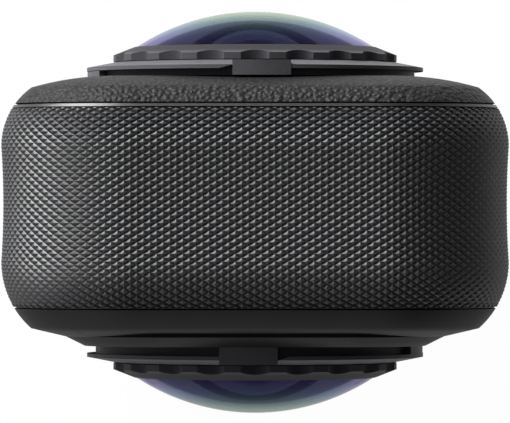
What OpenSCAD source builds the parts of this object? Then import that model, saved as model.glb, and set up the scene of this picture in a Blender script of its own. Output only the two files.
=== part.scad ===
// Stick-shaped 360 degree camera with two back-to-back domed lenses.
// Each piece is drawn lying on its back: x across, y up the body, z from the middle plane towards
// the front. stand() then turns it upright, so that the front faces -Y and the foot is at Z = 0.

/* [Body] */
// Width over the fullest part of the sides
body_w = 46; // [45:0.5:52]
// Height from the standing face to the top end
body_h = 114; // [113.5:0.5:124]
// Radius of the four corners, seen from the front
corner_r = 12; // [11:0.5:13]
// Depth of the frame's wall, from the fullest part of the side to the inner face
wall = 2.6; // [2.4:0.1:2.8]
// How far the flat side doors lie inside the fullest part of the side
side_inset = 0.25; // [0.2:0.05:0.4]
// How far the standing foot is proud of the frame
foot_proud = 0.5; // [0.3:0.1:1]

/* [Edges] */
// Radius of the rounded front edge
front_edge_r = 6.5; // [6.2:0.1:7.5]
// Distance of the front swelling of the side behind the front flat
front_swell_drop = 6.35; // [6:0.05:6.8]
// Radius of the rounded rear edge
rear_edge_r = 8; // [7.6:0.1:9]
// Distance of the rear swelling of the side in front of the rear flat
rear_swell_drop = 7.85; // [7.4:0.05:8.3]
// Depth of the shallow waist between the two swellings
waist = 0.18; // [0.1:0.02:0.24]
// Distance of the front cover's rim behind the front flat
front_rim_drop = 2.5; // [2.3:0.05:2.7]
// Distance of the rear cover's rim in front of the rear flat
rear_rim_drop = 3.65; // [3.5:0.05:3.9]
// Open seam between the frame and the front cover
front_seam = 0.2; // [0.1:0.02:0.3]
// Seam between the frame and the rear cover
rear_seam = 0.1; // [0.06:0.02:0.2]
// Width of the frame's smooth shoulder beside the front seam
shoulder_w = 0.5; // [0.3:0.05:0.6]
// Height of that shoulder
shoulder_h = 0.2; // [0.1:0.02:0.3]

/* [Covers] */
// Height of a dome's tip above the flat that its mount stands on
dome_rise = 6.15; // [5.8:0.05:6.4]
// Distance behind the front flat at which the rounded front edge meets the crowned face
front_edge_drop = 1.05; // [0.9:0.05:1.3]
// Distance in from the side at which the front crown runs out flat
crown_reach = 10; // [8:0.5:10.5]
// Thickness of the front cover at its flat
front_skin = 1.4; // [1.2:0.1:1.6]
// Distance in front of the rear flat at which the rounded rear edge meets the sloped rear face
rear_edge_drop = 1.85; // [1.7:0.05:2.1]
// Distance of that slope's inner end in front of the rear flat
rear_slope_drop = 1.15; // [1:0.05:1.3]
// Thickness of the rear cover under the rear panel
rear_skin = 0.95; // [0.8:0.05:1]
// Length of the tongue with which a cover reaches into the frame
tongue_l = 1.2; // [0.8:0.1:1.6]
// Thickness of that tongue
tongue_t = 0.85; // [0.6:0.05:1]
// Width of the gasket in each seam
gasket_w = 0.5; // [0.3:0.05:0.6]
// Depth of the gasket's groove in the frame
gasket_depth = 0.5; // [0.3:0.05:0.8]
// Width of the land between the groove and the frame's inner face
groove_land = 0.2; // [0.15:0.05:0.25]

/* [Rear panel] */
// Width of the raised rear panel
panel_w = 34.6; // [33.5:0.1:35]
// Distance from the top end to the panel
panel_top_gap = 4.3; // [4:0.1:5]
// Height of the panel's lower edge
panel_low = 8.6; // [8:0.1:9.5]
// Corner radius of the panel
panel_r = 9; // [8:0.5:10]
// How much nearer the middle plane the panel's face is than the front flat
panel_set = 0.25; // [0.2:0.01:0.3]
// Thickness of the panel
panel_t = 1.23; // [1.2:0.01:1.3]
// Depth of the panel's bevel
panel_bevel_h = 0.9; // [0.8:0.05:1]
// Width of the panel's bevel
panel_bevel = 1.8; // [1.4:0.1:2]

/* [Screen] */
// Width of the screen glass
glass_w = 29.6; // [28:0.1:30]
// Distance from the lens axis down to the screen glass
glass_gap = 21.5; // [21:0.1:26]
// Height of the glass's lower edge
glass_low = 21.5; // [21:0.1:23]
// Corner radius of the glass
glass_r = 2.5; // [1.5:0.1:4]
// Thickness of the glass
glass_t = 0.9; // [0.7:0.1:1.1]
// Width of the blank margin round the display
display_margin = 1.5; // [1.2:0.1:3]
// Thickness of the display
display_t = 1.7; // [1.5:0.1:2]

/* [Lens] */
// Distance between the tips of the two domes
lens_span = 37; // [36.8:0.1:37.6]
// Distance from the top end down to the lens axis
lens_drop = 22; // [21.5:0.1:22.4]
// Radius of the dome's outer surface
dome_r = 20; // [19.6:0.1:20.6]
// Width of the ring's lip over the dome's edge
dome_lip = 0.35; // [0.25:0.05:0.4]
// Thickness of that lip at its edge
dome_lip_t = 0.06; // [0.05:0.01:0.1]
// Thickness of the dome glass
dome_t = 0.8; // [0.6:0.1:0.9]
// Radius of the dome's rim
dome_rim_r = 11.5; // [11.3:0.1:11.6]
// Outer radius of the twist ring
ring_r = 13.1; // [12.9:0.1:13.3]
// Distance of the twist ring's foot behind the dome's tip
ring_foot_drop = 4.65; // [4.55:0.01:4.68]
// Distance behind the dome's tip at which the ring's gripping wall ends
ring_wall_drop = 4.05; // [3.95:0.05:4.15]
// Outer radius of the ring's skirt inside the mount
skirt_r = 11.9; // [11.8:0.05:12]
// Wall of the ring's skirt
skirt_wall = 1.3; // [1.1:0.1:1.4]
// Number of scallops round the twist ring
scallops = 20; // [16:1:22]
// Depth of a scallop
scallop_depth = 0.55; // [0.4:0.05:0.6]
// Radius of a scallop
scallop_r = 1.95; // [1.6:0.05:2.1]
// Turn between locked and released
twist = 30; // [28:1:36]
// Angle that a bayonet lug spans
lug_angle = 24; // [18:1:26]
// How far a lug stands out of the skirt
lug_out = 0.6; // [0.4:0.05:0.65]
// Thickness of a lug
lug_t = 0.6; // [0.5:0.05:0.65]

/* [Lens mount] */
// Outer radius of the mount's lip
lip_r = 15.5; // [15.2:0.1:15.8]
// Thickness of the lip at its edge
lip_t = 0.34; // [0.28:0.02:0.38]
// Distance of the lip's edge behind the dome's tip
lip_drop = 5.2; // [5.15:0.01:5.3]
// Distance of the mount's top face behind the dome's tip
mount_top_drop = 4.73; // [4.71:0.01:4.8]
// Radius of the wall under the lip
recess_r = 14.7; // [14.4:0.1:14.9]
// Radius of the neck that goes through the cover
neck_r = 13.6; // [13.4:0.05:13.8]
// Distance of the neck's lower end behind the dome's tip
neck_drop = 8.1; // [8:0.05:8.3]
// Thickness of the shelf at the neck's lower end
shelf_t = 0.8; // [0.7:0.05:0.85]
// Bore of that shelf
shelf_r = 9.7; // [9.65:0.05:9.9]
// Height of the lens seal
seal_t = 0.35; // [0.25:0.05:0.38]
// Angles from the top of the body, anticlockwise, between which solid blocks stand under the lip
block_spans = [[-7.5, 12], [-105, -67], [150, 200]]; // [-180:0.5:240]
// How far the first block stands out of the lip's edge and the others stop short of it
block_step = 0.05; // [0.03:0.01:0.08]
// Angles between which the lip is cut away as a lead-in
lead_in = [-12, -7.5]; // [-20:0.5:-5]
// Spare angle of an entry slot round its lug
slot_spare = 3; // [2:0.5:4]

/* [Optics] */
// Radius of the barrel's wide end
barrel_r = 9.4; // [9.2:0.05:9.45]
// Radius of the barrel's narrow end
barrel_foot_r = 6.4; // [6:0.1:6.6]
// Distance of the barrel's top behind the dome's tip
barrel_drop = 5.5; // [5.3:0.1:5.7]
// Distance of the fisheye lens's seat behind the dome's tip
fisheye_seat_drop = 6.3; // [6.1:0.05:6.5]
// Radius of the fisheye lens's outer surface
fisheye_curve = 9.9; // [9.7:0.1:10.4]
// Distance of the fisheye lens's tip behind the dome's tip
fisheye_tip_drop = 1.05; // [0.95:0.05:1.3]
// Radius of the fisheye lens's rim
fisheye_r = 8.6; // [8.4:0.05:8.65]
// Radius of the fisheye lens's hollow
fisheye_hollow = 6.6; // [6.4:0.1:7]
// Thickness of the fisheye lens at its tip
fisheye_t = 1.1; // [1:0.05:1.3]
// Radius of the inner lens
inner_lens_r = 4.2; // [3.8:0.1:4.4]
// Distance of the inner lens's seat behind the dome's tip
inner_seat_drop = 9.9; // [9.5:0.1:10.1]
// Radius of the inner lens's outer surface
inner_curve = 4.4; // [4.3:0.1:5]
// Thickness of the inner lens at its middle
inner_lens_t = 7.3; // [6.8:0.1:7.4]
// Depth of the inner lens's seat in the barrel
inner_seat_l = 2.5; // [2.2:0.1:2.6]
// Width and height of an image sensor
sensor_size = [7.6, 6]; // [5:0.1:8]
// Thickness of an image sensor
sensor_t = 1; // [0.8:0.1:1.1]
// Side of a square sensor board
sensor_board_w = 13; // [12.8:0.1:13.4]
// Wall of the barrel at its foot
barrel_wall = 1.2; // [1:0.1:1.3]
// Width of the inner lens's seat
inner_seat = 1; // [0.8:0.1:1.2]
// Corner radius of a small board
board_r = 0.5; // [0.3:0.1:0.8]
// Thickness of a sensor board
sensor_board_t = 0.8; // [0.6:0.1:1]

/* [Chassis] */
// Thickness of the web between the two sensors
web_t = 1.8; // [1.6:0.1:2]
// Gap between the web and the frame's side walls
web_side = 1.8; // [1.6:0.1:2]
// Reach of the web above the lens axis
web_up = 13.5; // [13:0.1:14]
// Radius of the circle of posts under a mount
post_ring_r = 11.9; // [11.8:0.05:12]
// Radius of a post
post_r = 1.5; // [1.4:0.05:1.6]
// Radius of a mount screw's shank
mount_screw_r = 0.7; // [0.6:0.05:0.75]
// Length of a mount screw's thread in the mount
mount_screw_bite = 0.55; // [0.4:0.05:0.6]
// Thickness of the leg behind the main board
leg_t = 1.2; // [1:0.1:1.4]
// Reach of a frame boss from the wall
boss_reach = 4; // [3.6:0.1:4.4]
// Height of a frame boss along the wall
boss_l = 3.6; // [3.2:0.1:3.8]
// Depth of a frame boss behind the web
boss_t = 3; // [2.6:0.1:3.2]
// Distance of the boss screws above and below the lens axis
boss_up = [8, -11]; // [-12:0.5:12]
// Radius of a chassis screw's shank
chassis_screw_r = 0.6; // [0.5:0.05:0.7]
// Distance of a chassis screw from the end of its boss
boss_screw_in = 1.6; // [1.5:0.1:1.8]
// How far a chassis screw stops short of its boss's back
boss_floor = 0.4; // [0.3:0.1:0.6]
// Width of the riser between the web and the leg
riser_w = 10; // [8:0.5:12]
// Length of the riser below and above the web's lower edge
riser_l = 2; // [1.5:0.1:2.2]
// Free space between the card socket and the web
web_gap = 0.4; // [0.3:0.05:0.6]

/* [Battery] */
// Distance from the lens axis down to the battery pack
pack_gap = 18.5; // [18.3:0.1:24]
// Distance from the battery pack's front face to the frame's front edge
pack_side = 2.9; // [2.8:0.05:3.4]
// How far the battery pack reaches past the middle of the body
pack_past = 1.6; // [-1:0.1:2]
// Height of the battery pack's lower end
pack_low = 17.5; // [17.2:0.1:18]
// How far the battery door reaches past the pack at its two ends
door_over = 3; // [2.9:0.1:3.2]
// How far the battery door reaches past the pack at its two sides
door_side = 0.7; // [0.6:0.05:0.8]
// Thickness of the battery door
door_t = 1.85; // [1.7:0.05:2.1]
// Corner radius of the battery door
door_r = 2.5; // [2:0.1:2.6]
// Width of the battery seal's ring
seal_w = 0.5; // [0.4:0.05:0.55]
// Thickness of the battery seal
battery_seal_t = 0.4; // [0.3:0.05:0.42]
// Wall of the battery bay
bay_wall = 0.8; // [0.6:0.05:0.9]
// Width of a latch
latch_w = 6.8; // [5:0.1:7.4]
// Length of a latch
latch_l = 6.9; // [6:0.1:8]
// Thickness of a latch
latch_t = 1.05; // [0.9:0.05:1.2]
// How far a latch reaches past the door into the frame
latch_bite = 1; // [0.8:0.05:1.1]
// Travel of a latch
latch_travel = 1.8; // [1.6:0.1:2]
// Number of grip ribs on a latch
latch_ribs = 3; // [2:1:4]
// Width of a grip rib
rib_w = 0.5; // [0.4:0.05:0.6]
// Spacing of the grip ribs
rib_step = 1.2; // [1:0.1:1.4]
// Distance of the middle rib from the latch's middle, away from its nose
rib_shift = 0.6; // [0.4:0.1:0.8]

/* [Memory card] */
// Length, width and thickness of the memory card
card_size = [15, 11, 1]; // [1:0.1:15]
// Wall of the card socket
socket_wall = 0.4; // [0.3:0.05:0.45]
// Free travel behind the card
card_travel = 0.8; // [0.7:0.1:1]
// Distance of the card's outer end inside the battery door
card_recess = 0.6; // [0.55:0.05:0.8]
// How far the card's outer end stands out of its socket
card_out = 0.7; // [0.6:0.05:0.9]

/* [USB port and door] */
// Height of the USB socket's centre
usb_y = 29; // [28.5:0.1:30]
// Width, height and depth of the USB socket's shell
usb_size = [8.94, 3.2, 7.3]; // [3:0.02:9]
// Wall of the USB socket's shell
usb_wall = 0.3; // [0.25:0.01:0.35]
// Width and height of the opening that a plug goes through
plug_size = [12.8, 7]; // [6.6:0.1:13.2]
// Thickness of the USB door
usb_door_t = 1.15; // [1:0.05:1.25]
// Width of the USB door
usb_door_w = 10.4; // [9.8:0.1:10.8]
// Reach of the USB door above the plug opening
usb_door_over = 1.2; // [1:0.1:1.6]
// Radius of the hinge pin
pin_r = 0.5; // [0.4:0.05:0.55]
// Radius of the door's knuckle
knuckle_r = 0.95; // [0.9:0.05:1]
// Length of the door's knuckle
knuckle_l = 6.4; // [5.6:0.1:6.8]
// Length of the hinge pin
pin_l = 9.6; // [9:0.1:10]
// Distance of the pin below the plug opening
pin_drop = 3.2; // [3:0.1:3.6]
// Distance from the pin to the wide part of the door, which clears the frame when it is open
heel = 1.5; // [1.4:0.05:1.7]
// Room below the knuckle for the open door
heel_room = 0.3; // [0.2:0.05:0.4]
// Room under the wide part of the door for its swing
swing_room = 0.65; // [0.6:0.05:0.7]
// Corner radius of the USB door
usb_door_r = 0.85; // [0.5:0.05:1]
// Corner radius of the plug opening
plug_r = 2; // [1:0.1:2.5]
// Thickness and width of the tongue inside the socket
usb_tongue = [0.7, 6.7]; // [0.6:0.05:6.8]
// Distance of the tongue behind the socket's mouth
usb_tongue_back = 0.8; // [0.6:0.1:1]
// Thickness of the socket's back
usb_back = 1; // [0.8:0.1:1.2]
// Thickness of the rubber plug on the door's inside
usb_seal_t = 0.9; // [0.7:0.05:1]

/* [Buttons] */
// Distances of the power and quick buttons below the lens axis
side_key_drop = [26, 37.5]; // [24:0.5:40]
// Length and width of a side button
side_key_size = [9, 4.4]; // [4:0.1:10]
// Distance from the middle to each rear button
rear_key_x = 6.6; // [6.4:0.1:7]
// Height of the rear buttons
rear_key_y = 15; // [14.8:0.1:15.4]
// Width and height of a rear button
rear_key_size = [10.4, 5.6]; // [5:0.1:10.6]
// How far a button is proud of its face
key_proud = 0.25; // [0.15:0.05:0.35]
// Travel of a button
key_travel = 0.35; // [0.3:0.05:0.4]
// Width of the flange that keeps a button in
key_flange = 0.45; // [0.35:0.05:0.5]
// Thickness of that flange
key_flange_t = 0.5; // [0.4:0.05:0.6]
// Side of a square key switch
switch_w = 4; // [3.6:0.1:4.2]
// Height of a key switch
switch_t = 0.6; // [0.5:0.05:0.7]
// Thickness of a key board
key_board_t = 0.6; // [0.5:0.05:0.8]
// Width of the side key board
side_board_w = 6; // [5:0.1:6.4]
// How far the side key board reaches past its buttons at each end
side_board_over = 2.5; // [2.4:0.1:3]
// Length of the ribs that carry the side key board
key_rib_l = 1.5; // [1.2:0.1:1.7]
// How far the rear key board reaches above and below its buttons
rear_board_over = 0.5; // [0.3:0.1:0.8]
// Radius of the posts that carry the rear key board
key_post_r = 0.8; // [0.7:0.05:0.9]
// Free space between a button's flange and a post
key_post_gap = 0.3; // [0.25:0.05:0.4]

/* [Main board] */
// Height of the main board's lower end
board_low = 10; // [9.5:0.1:11]
// Thickness of the main board
board_t = 1; // [0.8:0.1:1.2]
// Side of the square processor
processor_w = 8; // [7:0.1:9]
// Thickness of the processor
processor_t = 1.2; // [1:0.1:1.4]
// Side of the square shield can over it
shield_w = 11; // [10:0.1:12]
// Height of the shield can
shield_h = 1.9; // [1.8:0.1:2.2]
// Wall of the shield can
shield_wall = 0.25; // [0.2:0.05:0.3]
// Distance of the processor above the middle board screw
processor_rise = 9.8; // [8:0.1:14]
// Distance of the outer board screws from the board's ends
board_screw_end = 3; // [2.5:0.1:3.5]
// Radius of a board screw's shank
board_screw_r = 0.6; // [0.5:0.05:0.7]
// Height, length and width of the battery contact block
contact_size = [8, 3.3, 2.6]; // [2:0.1:9]
// Free space between the main board and its neighbours at the sides
board_gap = [0.7, 0.4]; // [0.3:0.05:0.9]
// Distance of the board screws from the board's edge
board_screw_in = 1.6; // [1.5:0.1:1.8]
// Distance of the shield can from the board's edge
shield_edge = 0.5; // [0.3:0.1:0.8]
// Distance of the contact block below the middle board screw
contact_drop = 7.2; // [6:0.1:9]

/* [Base] */
// Width of the base plate
base_w = 20; // [18:0.1:20.4]
// Distance from the base plate to the frame's front edge
base_side = 2.5; // [2.4:0.1:3]
// Corner radius of the base plate
base_r = 2.5; // [1.5:0.1:4]
// Width of the plate's flange inside the frame
base_flange = 0.8; // [0.6:0.05:0.9]
// Thickness of that flange
base_flange_t = 1.2; // [1:0.1:1.6]
// Outer radius of the tripod insert
insert_r = 4.2; // [3.8:0.1:4.6]
// Length of the tripod insert
insert_l = 7; // [6.6:0.1:7.4]
// Radius of the tripod thread's bore
thread_r = 2.6; // [2.5:0.05:2.8]
// Depth of the tripod thread
thread_l = 6; // [5:0.1:6.2]
// Distance of the insert's lower face above the standing face
insert_recess = 0.3; // [0.2:0.05:0.5]
// Wall round the insert
insert_wall = 1.6; // [1.4:0.1:1.9]
// Width, depth and height of a quick-release notch
notch_size = [2.2, 6, 1.4]; // [1:0.1:7]

/* [Sound and lights] */
// Radius of a microphone hole
mic_hole_r = 0.5; // [0.4:0.05:0.6]
// Radius of a microphone mesh
mesh_r = 0.9; // [0.8:0.05:1]
// Thickness of a microphone mesh
mesh_t = 0.3; // [0.25:0.05:0.4]
// Length, width and thickness of a microphone
mic_size = [3.5, 2.65, 1]; // [0.8:0.05:3.6]
// Place of the front microphone across and below the lens axis
front_mic_at = [9, 20]; // [8:0.5:21]
// Place of the rear microphone across and below the lens axis
rear_mic_at = [12.4, 18.4]; // [12:0.1:19]
// Distance of the side microphones below the lens axis
side_mic_drop = 3; // [2:0.1:4]
// Length, height and thickness of the speaker
speaker_size = [12, 7, 3.6]; // [3:0.1:12]
// Place of the speaker's centre across and up
speaker_at = [11, 16]; // [10:0.5:17]
// Number of speaker holes
speaker_holes = 5; // [3:1:6]
// Spacing of the speaker holes
speaker_step = 2; // [1.8:0.1:2.2]
// Radius of a light pipe
pipe_r = 0.9; // [0.7:0.05:1]
// Width of a light pipe's flange
pipe_flange = 0.4; // [0.3:0.05:0.5]
// Length of a light pipe's flange
pipe_flange_l = 0.8; // [0.6:0.1:1]
// Distance of the front light pipe below the lens axis
front_pipe_drop = 20; // [18:0.5:21]
// Place of the rear light pipe across and below the lens axis
rear_pipe_at = [-12.4, 18.4]; // [-12.6:0.1:19]

/* [Fits] */
// Gap round a piece that is set in a hole
clear = 0.1; // [0.06:0.02:0.12]
// Gap round a piece that slides
slip = 0.15; // [0.1:0.01:0.18]
// Radial gap of the twist ring in its mount
lens_fit = 0.08; // [0.05:0.01:0.1]
// Radial gap of the hinge pin in the door
pin_fit = 0.05; // [0.03:0.01:0.08]
// Height of a screw's head
head_h = 0.8; // [0.6:0.1:0.9]
// How far a screw's head reaches past its shank
head_over = 0.6; // [0.5:0.05:0.7]
// Gap between pieces that are pressed or bonded together
hair = 0.05; // [0.03:0.01:0.06]

/* [Hidden] */
$fn = 64;
// Steps along a curved stretch of an outline
steps = 8;
// Overrun of a cut past the face that it opens
past = 1;
// Flat that is left on each end of a pill
pill_flat = 0.02;

half_w = body_w / 2;
cavity_x = half_w - wall;
side_x = half_w - side_inset;
lens_y = body_h - lens_drop;

// Depths of the lens pieces, from the middle plane
tip_h = lens_span / 2;
dome_z = tip_h - dome_r;
ring_foot_h = tip_h - ring_foot_drop;
ring_wall_h = tip_h - ring_wall_drop;
lip_h = tip_h - lip_drop;
mount_top_h = tip_h - mount_top_drop;
neck_h = tip_h - neck_drop;
barrel_h = tip_h - barrel_drop;
fisheye_seat_h = tip_h - fisheye_seat_drop;
fisheye_tip_h = tip_h - fisheye_tip_drop;
inner_seat_h = tip_h - inner_seat_drop;

// Depths of the housing, from the middle plane
face_h = tip_h - dome_rise;
front_swell = face_h - front_swell_drop;
rear_swell = face_h - rear_swell_drop;
front_rim = face_h - front_rim_drop;
rear_rim = face_h - rear_rim_drop;
front_edge_h = face_h - front_edge_drop;
rear_edge_h = face_h - rear_edge_drop;
rear_slope_h = face_h - rear_slope_drop;
rear_face_h = face_h - panel_set;
panel_foot_h = rear_face_h - panel_t;
panel_edge_h = rear_face_h - panel_bevel_h;
// Middle of the waist, which the doors and keys on the sides are centred on
mid_z = (front_swell - rear_swell) / 2;
frame_front = front_rim - front_seam;
frame_back = -rear_rim + rear_seam;
cavity_inset = wall + slip + tongue_t;
front_inner_h = face_h - front_skin;
rear_inner_h = panel_foot_h - rear_skin;
panel_top = body_h - panel_top_gap;
cover_hole_r = neck_r + clear;
glass_l = lens_y - glass_gap - glass_low;
front_mic = [front_mic_at[0], lens_y - front_mic_at[1]];
rear_mic = [rear_mic_at[0], lens_y - rear_mic_at[1]];
front_pipe = [0, lens_y - front_pipe_drop];
rear_pipe = [rear_pipe_at[0], lens_y - rear_pipe_at[1]];

// Distance in from the widest outline to the skin at depth z
function inset_at(z) =
    z > front_swell ? front_edge_r - sqrt(front_edge_r ^ 2 - (z - front_swell) ^ 2)
    : z < -rear_swell ? rear_edge_r - sqrt(rear_edge_r ^ 2 - (z + rear_swell) ^ 2)
    : waist * (1 - ((z - mid_z) / (front_swell - mid_z)) ^ 2);
// Depth of the crowned front face at a distance in from the widest outline
function crown_at(inset) =
    face_h - (face_h - front_edge_h)
    * ((crown_reach - inset) / (crown_reach - inset_at(front_edge_h))) ^ 2;
function between(a, b, k) = a + (b - a) * k / steps;
function skin(z0, z1) = [for (k = [0:steps]) let (z = between(z0, z1, k)) [inset_at(z), z]];
// Corner radius of a pill that is w wide
function pill_r(w) = (w - pill_flat) / 2;
function dome_at(r, shell) = dome_z + sqrt(shell ^ 2 - r ^ 2);

shoulder_z = frame_front - shoulder_h;
frame_points = concat(
    skin(frame_back, -rear_swell),
    skin(-rear_swell, front_swell),
    skin(front_swell, shoulder_z),
    [[inset_at(shoulder_z) + shoulder_w, frame_front], [wall, frame_front], [wall, frame_back]]
);
front_points = concat(
    skin(front_rim, front_edge_h),
    [for (k = [1:steps]) let (i = between(inset_at(front_edge_h), crown_reach, k)) [i, crown_at(i)]],
    [[corner_r, face_h], [corner_r, front_rim]]
);
rear_points = concat(
    skin(-rear_rim, -rear_edge_h),
    [[half_w - panel_w / 2, -rear_slope_h], [corner_r, -rear_slope_h], [corner_r, -rear_rim]]
);
panel_points = [
    [0, -panel_foot_h], [0, -panel_edge_h], [panel_bevel, -rear_face_h], [panel_r, -rear_face_h],
    [panel_r, -panel_foot_h]
];

module stand() {
    rotate([90, 0, 0]) children();
}

// Places a lens piece, drawn along z about the lens axis, at the front or turned to the rear
module at_front() {
    translate([0, lens_y, 0]) children();
}

module at_rear() {
    translate([0, lens_y, 0]) rotate([0, 180, 0]) children();
}

module both_sides() {
    children();
    mirror([1, 0, 0]) children();
}

// Rounded rectangle about the origin
module rounded(w, h, r) {
    square([w - 2 * r, h], center = true);
    square([w, h - 2 * r], center = true);
    for (x = [-1, 1], y = [-1, 1])
        translate([x * (w / 2 - r), y * (h / 2 - r)]) circle(r);
}

// Rounded plate across x and y, from depth z0 to z1
module slab(w, low, high, r, z0, z1) {
    translate([0, (low + high) / 2, z0]) linear_extrude(z1 - z0) rounded(w, high - low, r);
}

// Rounded plate on a side wall, from x0 to x1: w is its size in depth and l along the body
module side_slab(x0, x1, y, w, l, r) {
    translate([x0, y, mid_z]) rotate([0, 90, 0]) linear_extrude(x1 - x0) rounded(w, l, r);
}

// Bar or hole straight through a side wall
module side_rod(x0, l, y, r) {
    translate([x0, y, mid_z]) rotate([0, 90, 0]) cylinder(r = r, h = l);
}

// Bar or hole straight through a face
module rod(at, r, z0, z1) {
    translate([at[0], at[1], z0]) cylinder(r = r, h = z1 - z0);
}

// Carries an outline of [distance in, depth] points round a rounded rectangle
module sweep(w, low, high, r, points) {
    outline = [for (p = points) [r - p[0], p[1]]];
    across = w - 2 * r;
    along = high - low - 2 * r;
    for (k = [0:3]) {
        run = k % 2 == 0 ? across : along;
        x = (k == 0 || k == 3 ? 1 : -1) * across / 2;
        y = k < 2 ? high - r : low + r;
        translate([x, y, 0]) rotate(90 * k) {
            rotate_extrude(angle = 90) polygon(outline);
            rotate(90) translate([0, run, 0]) rotate([90, 0, 0])
                linear_extrude(run) polygon(outline);
        }
    }
}

module body_sweep(points) {
    sweep(body_w, foot_proud, body_h, corner_r, points);
}

// Plate that fills the middle of a sweep, from depth z0 to z1
module core(w, low, high, r, z0, z1) {
    translate([r - w / 2, low + r, z0]) cube([w - 2 * r, high - low - 2 * r, z1 - z0]);
}

// Rectangular band that follows the body's outline, in0 to in1 in from it
module band(in0, in1, z0, z1) {
    body_sweep([[in0, z0], [in1, z0], [in1, z1], [in0, z1]]);
}

// Cavity inside the body's outline
module hollow(inset, z0, z1) {
    slab(body_w - 2 * inset, foot_proud + inset, body_h - inset, corner_r - inset, z0, z1);
}

// Screw with its head at the origin and its shank down z
module screw(r, l) {
    cylinder(r = r + head_over, h = head_h);
    translate([0, 0, -l]) cylinder(r = r, h = l + head_h / 2);
}

// Battery outline values
pack_l = lens_y - pack_gap - pack_low;
pack_t = 2 * (frame_front - mid_z - pack_side);
pack_y = pack_low + pack_l / 2;
door_l = pack_l + 2 * door_over;
door_w = pack_t + 2 * door_side;
door_in_x = side_x - door_t;
pack_d = door_in_x + pack_past;
bay_end_x = pack_past + slip + bay_wall;
bay_top = pack_low + pack_l + slip + bay_wall;
bay_low = pack_low - slip - bay_wall;
bay_depth = pack_t + 2 * slip + 2 * bay_wall;
latch_y = door_l / 2 + latch_bite - latch_l / 2;
latch_floor_x = side_x - latch_t - clear;

// USB door values
plug_low = usb_y - plug_size[0] / 2;
plug_high = usb_y + plug_size[0] / 2;
pin_y = plug_low - pin_drop;
pin_x = side_x - knuckle_r - hair;
usb_door_top = plug_high + usb_door_over;
usb_door_low = pin_y + heel;
usb_door_y = (usb_door_top + usb_door_low) / 2;
usb_door_l = usb_door_top - usb_door_low;
usb_door_in_x = side_x - usb_door_t;

// Key values
side_key_y = [lens_y - side_key_drop[0], lens_y - side_key_drop[1]];
key_rest_x = cavity_x - hair - key_flange_t;
side_switch_x = key_rest_x - key_travel - clear - switch_t;
side_board_x = side_switch_x - key_board_t;
side_board_y = (side_key_y[0] + side_key_y[1]) / 2;
side_board_l = side_key_y[0] - side_key_y[1] + side_key_size[0] + 2 * side_board_over;
rear_key_rest_h = rear_inner_h - hair - key_flange_t;
rear_switch_h = rear_key_rest_h - key_travel - clear;
rear_board_h = rear_switch_h - switch_t;
key_post_x = rear_key_x + rear_key_size[0] / 2 + key_flange + key_post_gap + key_post_r;
rear_board_w = 2 * (key_post_x + key_post_r);
rear_board_l = rear_key_size[1] + 2 * rear_board_over;

// Board, card and chassis values
board_x0 = bay_end_x + board_gap[0];
board_x1 = side_board_x - board_gap[1];
board_w = board_x1 - board_x0;
board_z = mid_z - usb_size[1] / 2 - board_t;
board_top = bay_top;
board_screw_x = board_x0 + board_screw_in;
board_mid_y = (board_low + board_top) / 2;
board_screw_y = [board_low + board_screw_end, board_mid_y, board_top - board_screw_end];
processor_y = board_mid_y + processor_rise;
contact_y = board_mid_y - contact_drop;
leg_z = board_z - leg_t;
card_y = bay_top + socket_wall + clear;
card_x = card_recess - door_in_x;
web_low = card_y + card_size[2] + clear + socket_wall + web_gap;
web_high = lens_y + web_up;
web_w = 2 * (cavity_x - web_side);
boss_screw_x = cavity_x - boss_reach + boss_screw_in;
// Angles of the posts under the front mount, which turn to other places at the rear
post_angles = [10, 130, 250];

// Base, sound and lens values
base_top = foot_proud + wall;
base_size = [base_w, 2 * (frame_front - mid_z - base_side)];
base_collar_h = insert_recess + insert_l;
speaker_reach = [speaker_size[0] / 2, speaker_size[1] / 2, speaker_size[2]];
side_mic_y = lens_y - side_mic_drop;
lug_angles = [90, 210, 330];
bore_r = skirt_r + lens_fit;
skirt_in_r = skirt_r - skirt_wall;
seal_top_h = neck_h + shelf_t + seal_t;
skirt_low_h = seal_top_h + hair;
lug_top_h = skirt_low_h + lug_t;
groove_r = skirt_r + lug_out + clear;
groove_in = wall - groove_land - gasket_w - 2 * clear;

// Housing

module grip_frame() {
    color("#33353a") difference() {
        union() {
            body_sweep(frame_points);
            chassis_bosses();
            key_ribs();
        }
        band(groove_in, groove_in + gasket_w + 2 * clear, frame_front - gasket_depth, frame_front + past);
        band(groove_in, groove_in + gasket_w + 2 * clear, frame_back - past, frame_back + gasket_depth);
        both_sides() {
            for (up = boss_up)
                rod([boss_screw_x, lens_y + up], chassis_screw_r + hair, -web_t - boss_t, 0);
            side_rod(cavity_x - past, wall + 2 * past, side_mic_y, mic_hole_r);
            side_rod(side_x - mesh_t, mesh_t + past, side_mic_y, mesh_r + hair);
        }
        battery_cuts();
        usb_cuts();
        for (y = side_key_y)
            side_slab(cavity_x - past, half_w + past, y, side_key_size[1] + 2 * slip,
                side_key_size[0] + 2 * slip, pill_r(side_key_size[1] + 2 * slip));
        translate([0, foot_proud - past, mid_z]) rotate([-90, 0, 0]) linear_extrude(wall + 2 * past)
            rounded(base_size[0] + 2 * clear, base_size[1] + 2 * clear, base_r + clear);
    }
}

// Blocks on the frame's side walls that carry the chassis
module chassis_bosses() {
    both_sides()
        for (up = boss_up)
            translate([cavity_x - boss_reach, lens_y + up - boss_l / 2, -web_t / 2 - boss_t])
                cube([boss_reach + wall / 2, boss_l, boss_t]);
}

// Ribs on the frame's side wall that carry the side key board
module key_ribs() {
    for (s = [-1, 1])
        translate([side_switch_x, side_board_y + s * (side_board_l - key_rib_l) / 2 - key_rib_l / 2,
            mid_z - side_board_w / 2])
            cube([cavity_x - side_switch_x + wall / 2, key_rib_l, side_board_w]);
}

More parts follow.
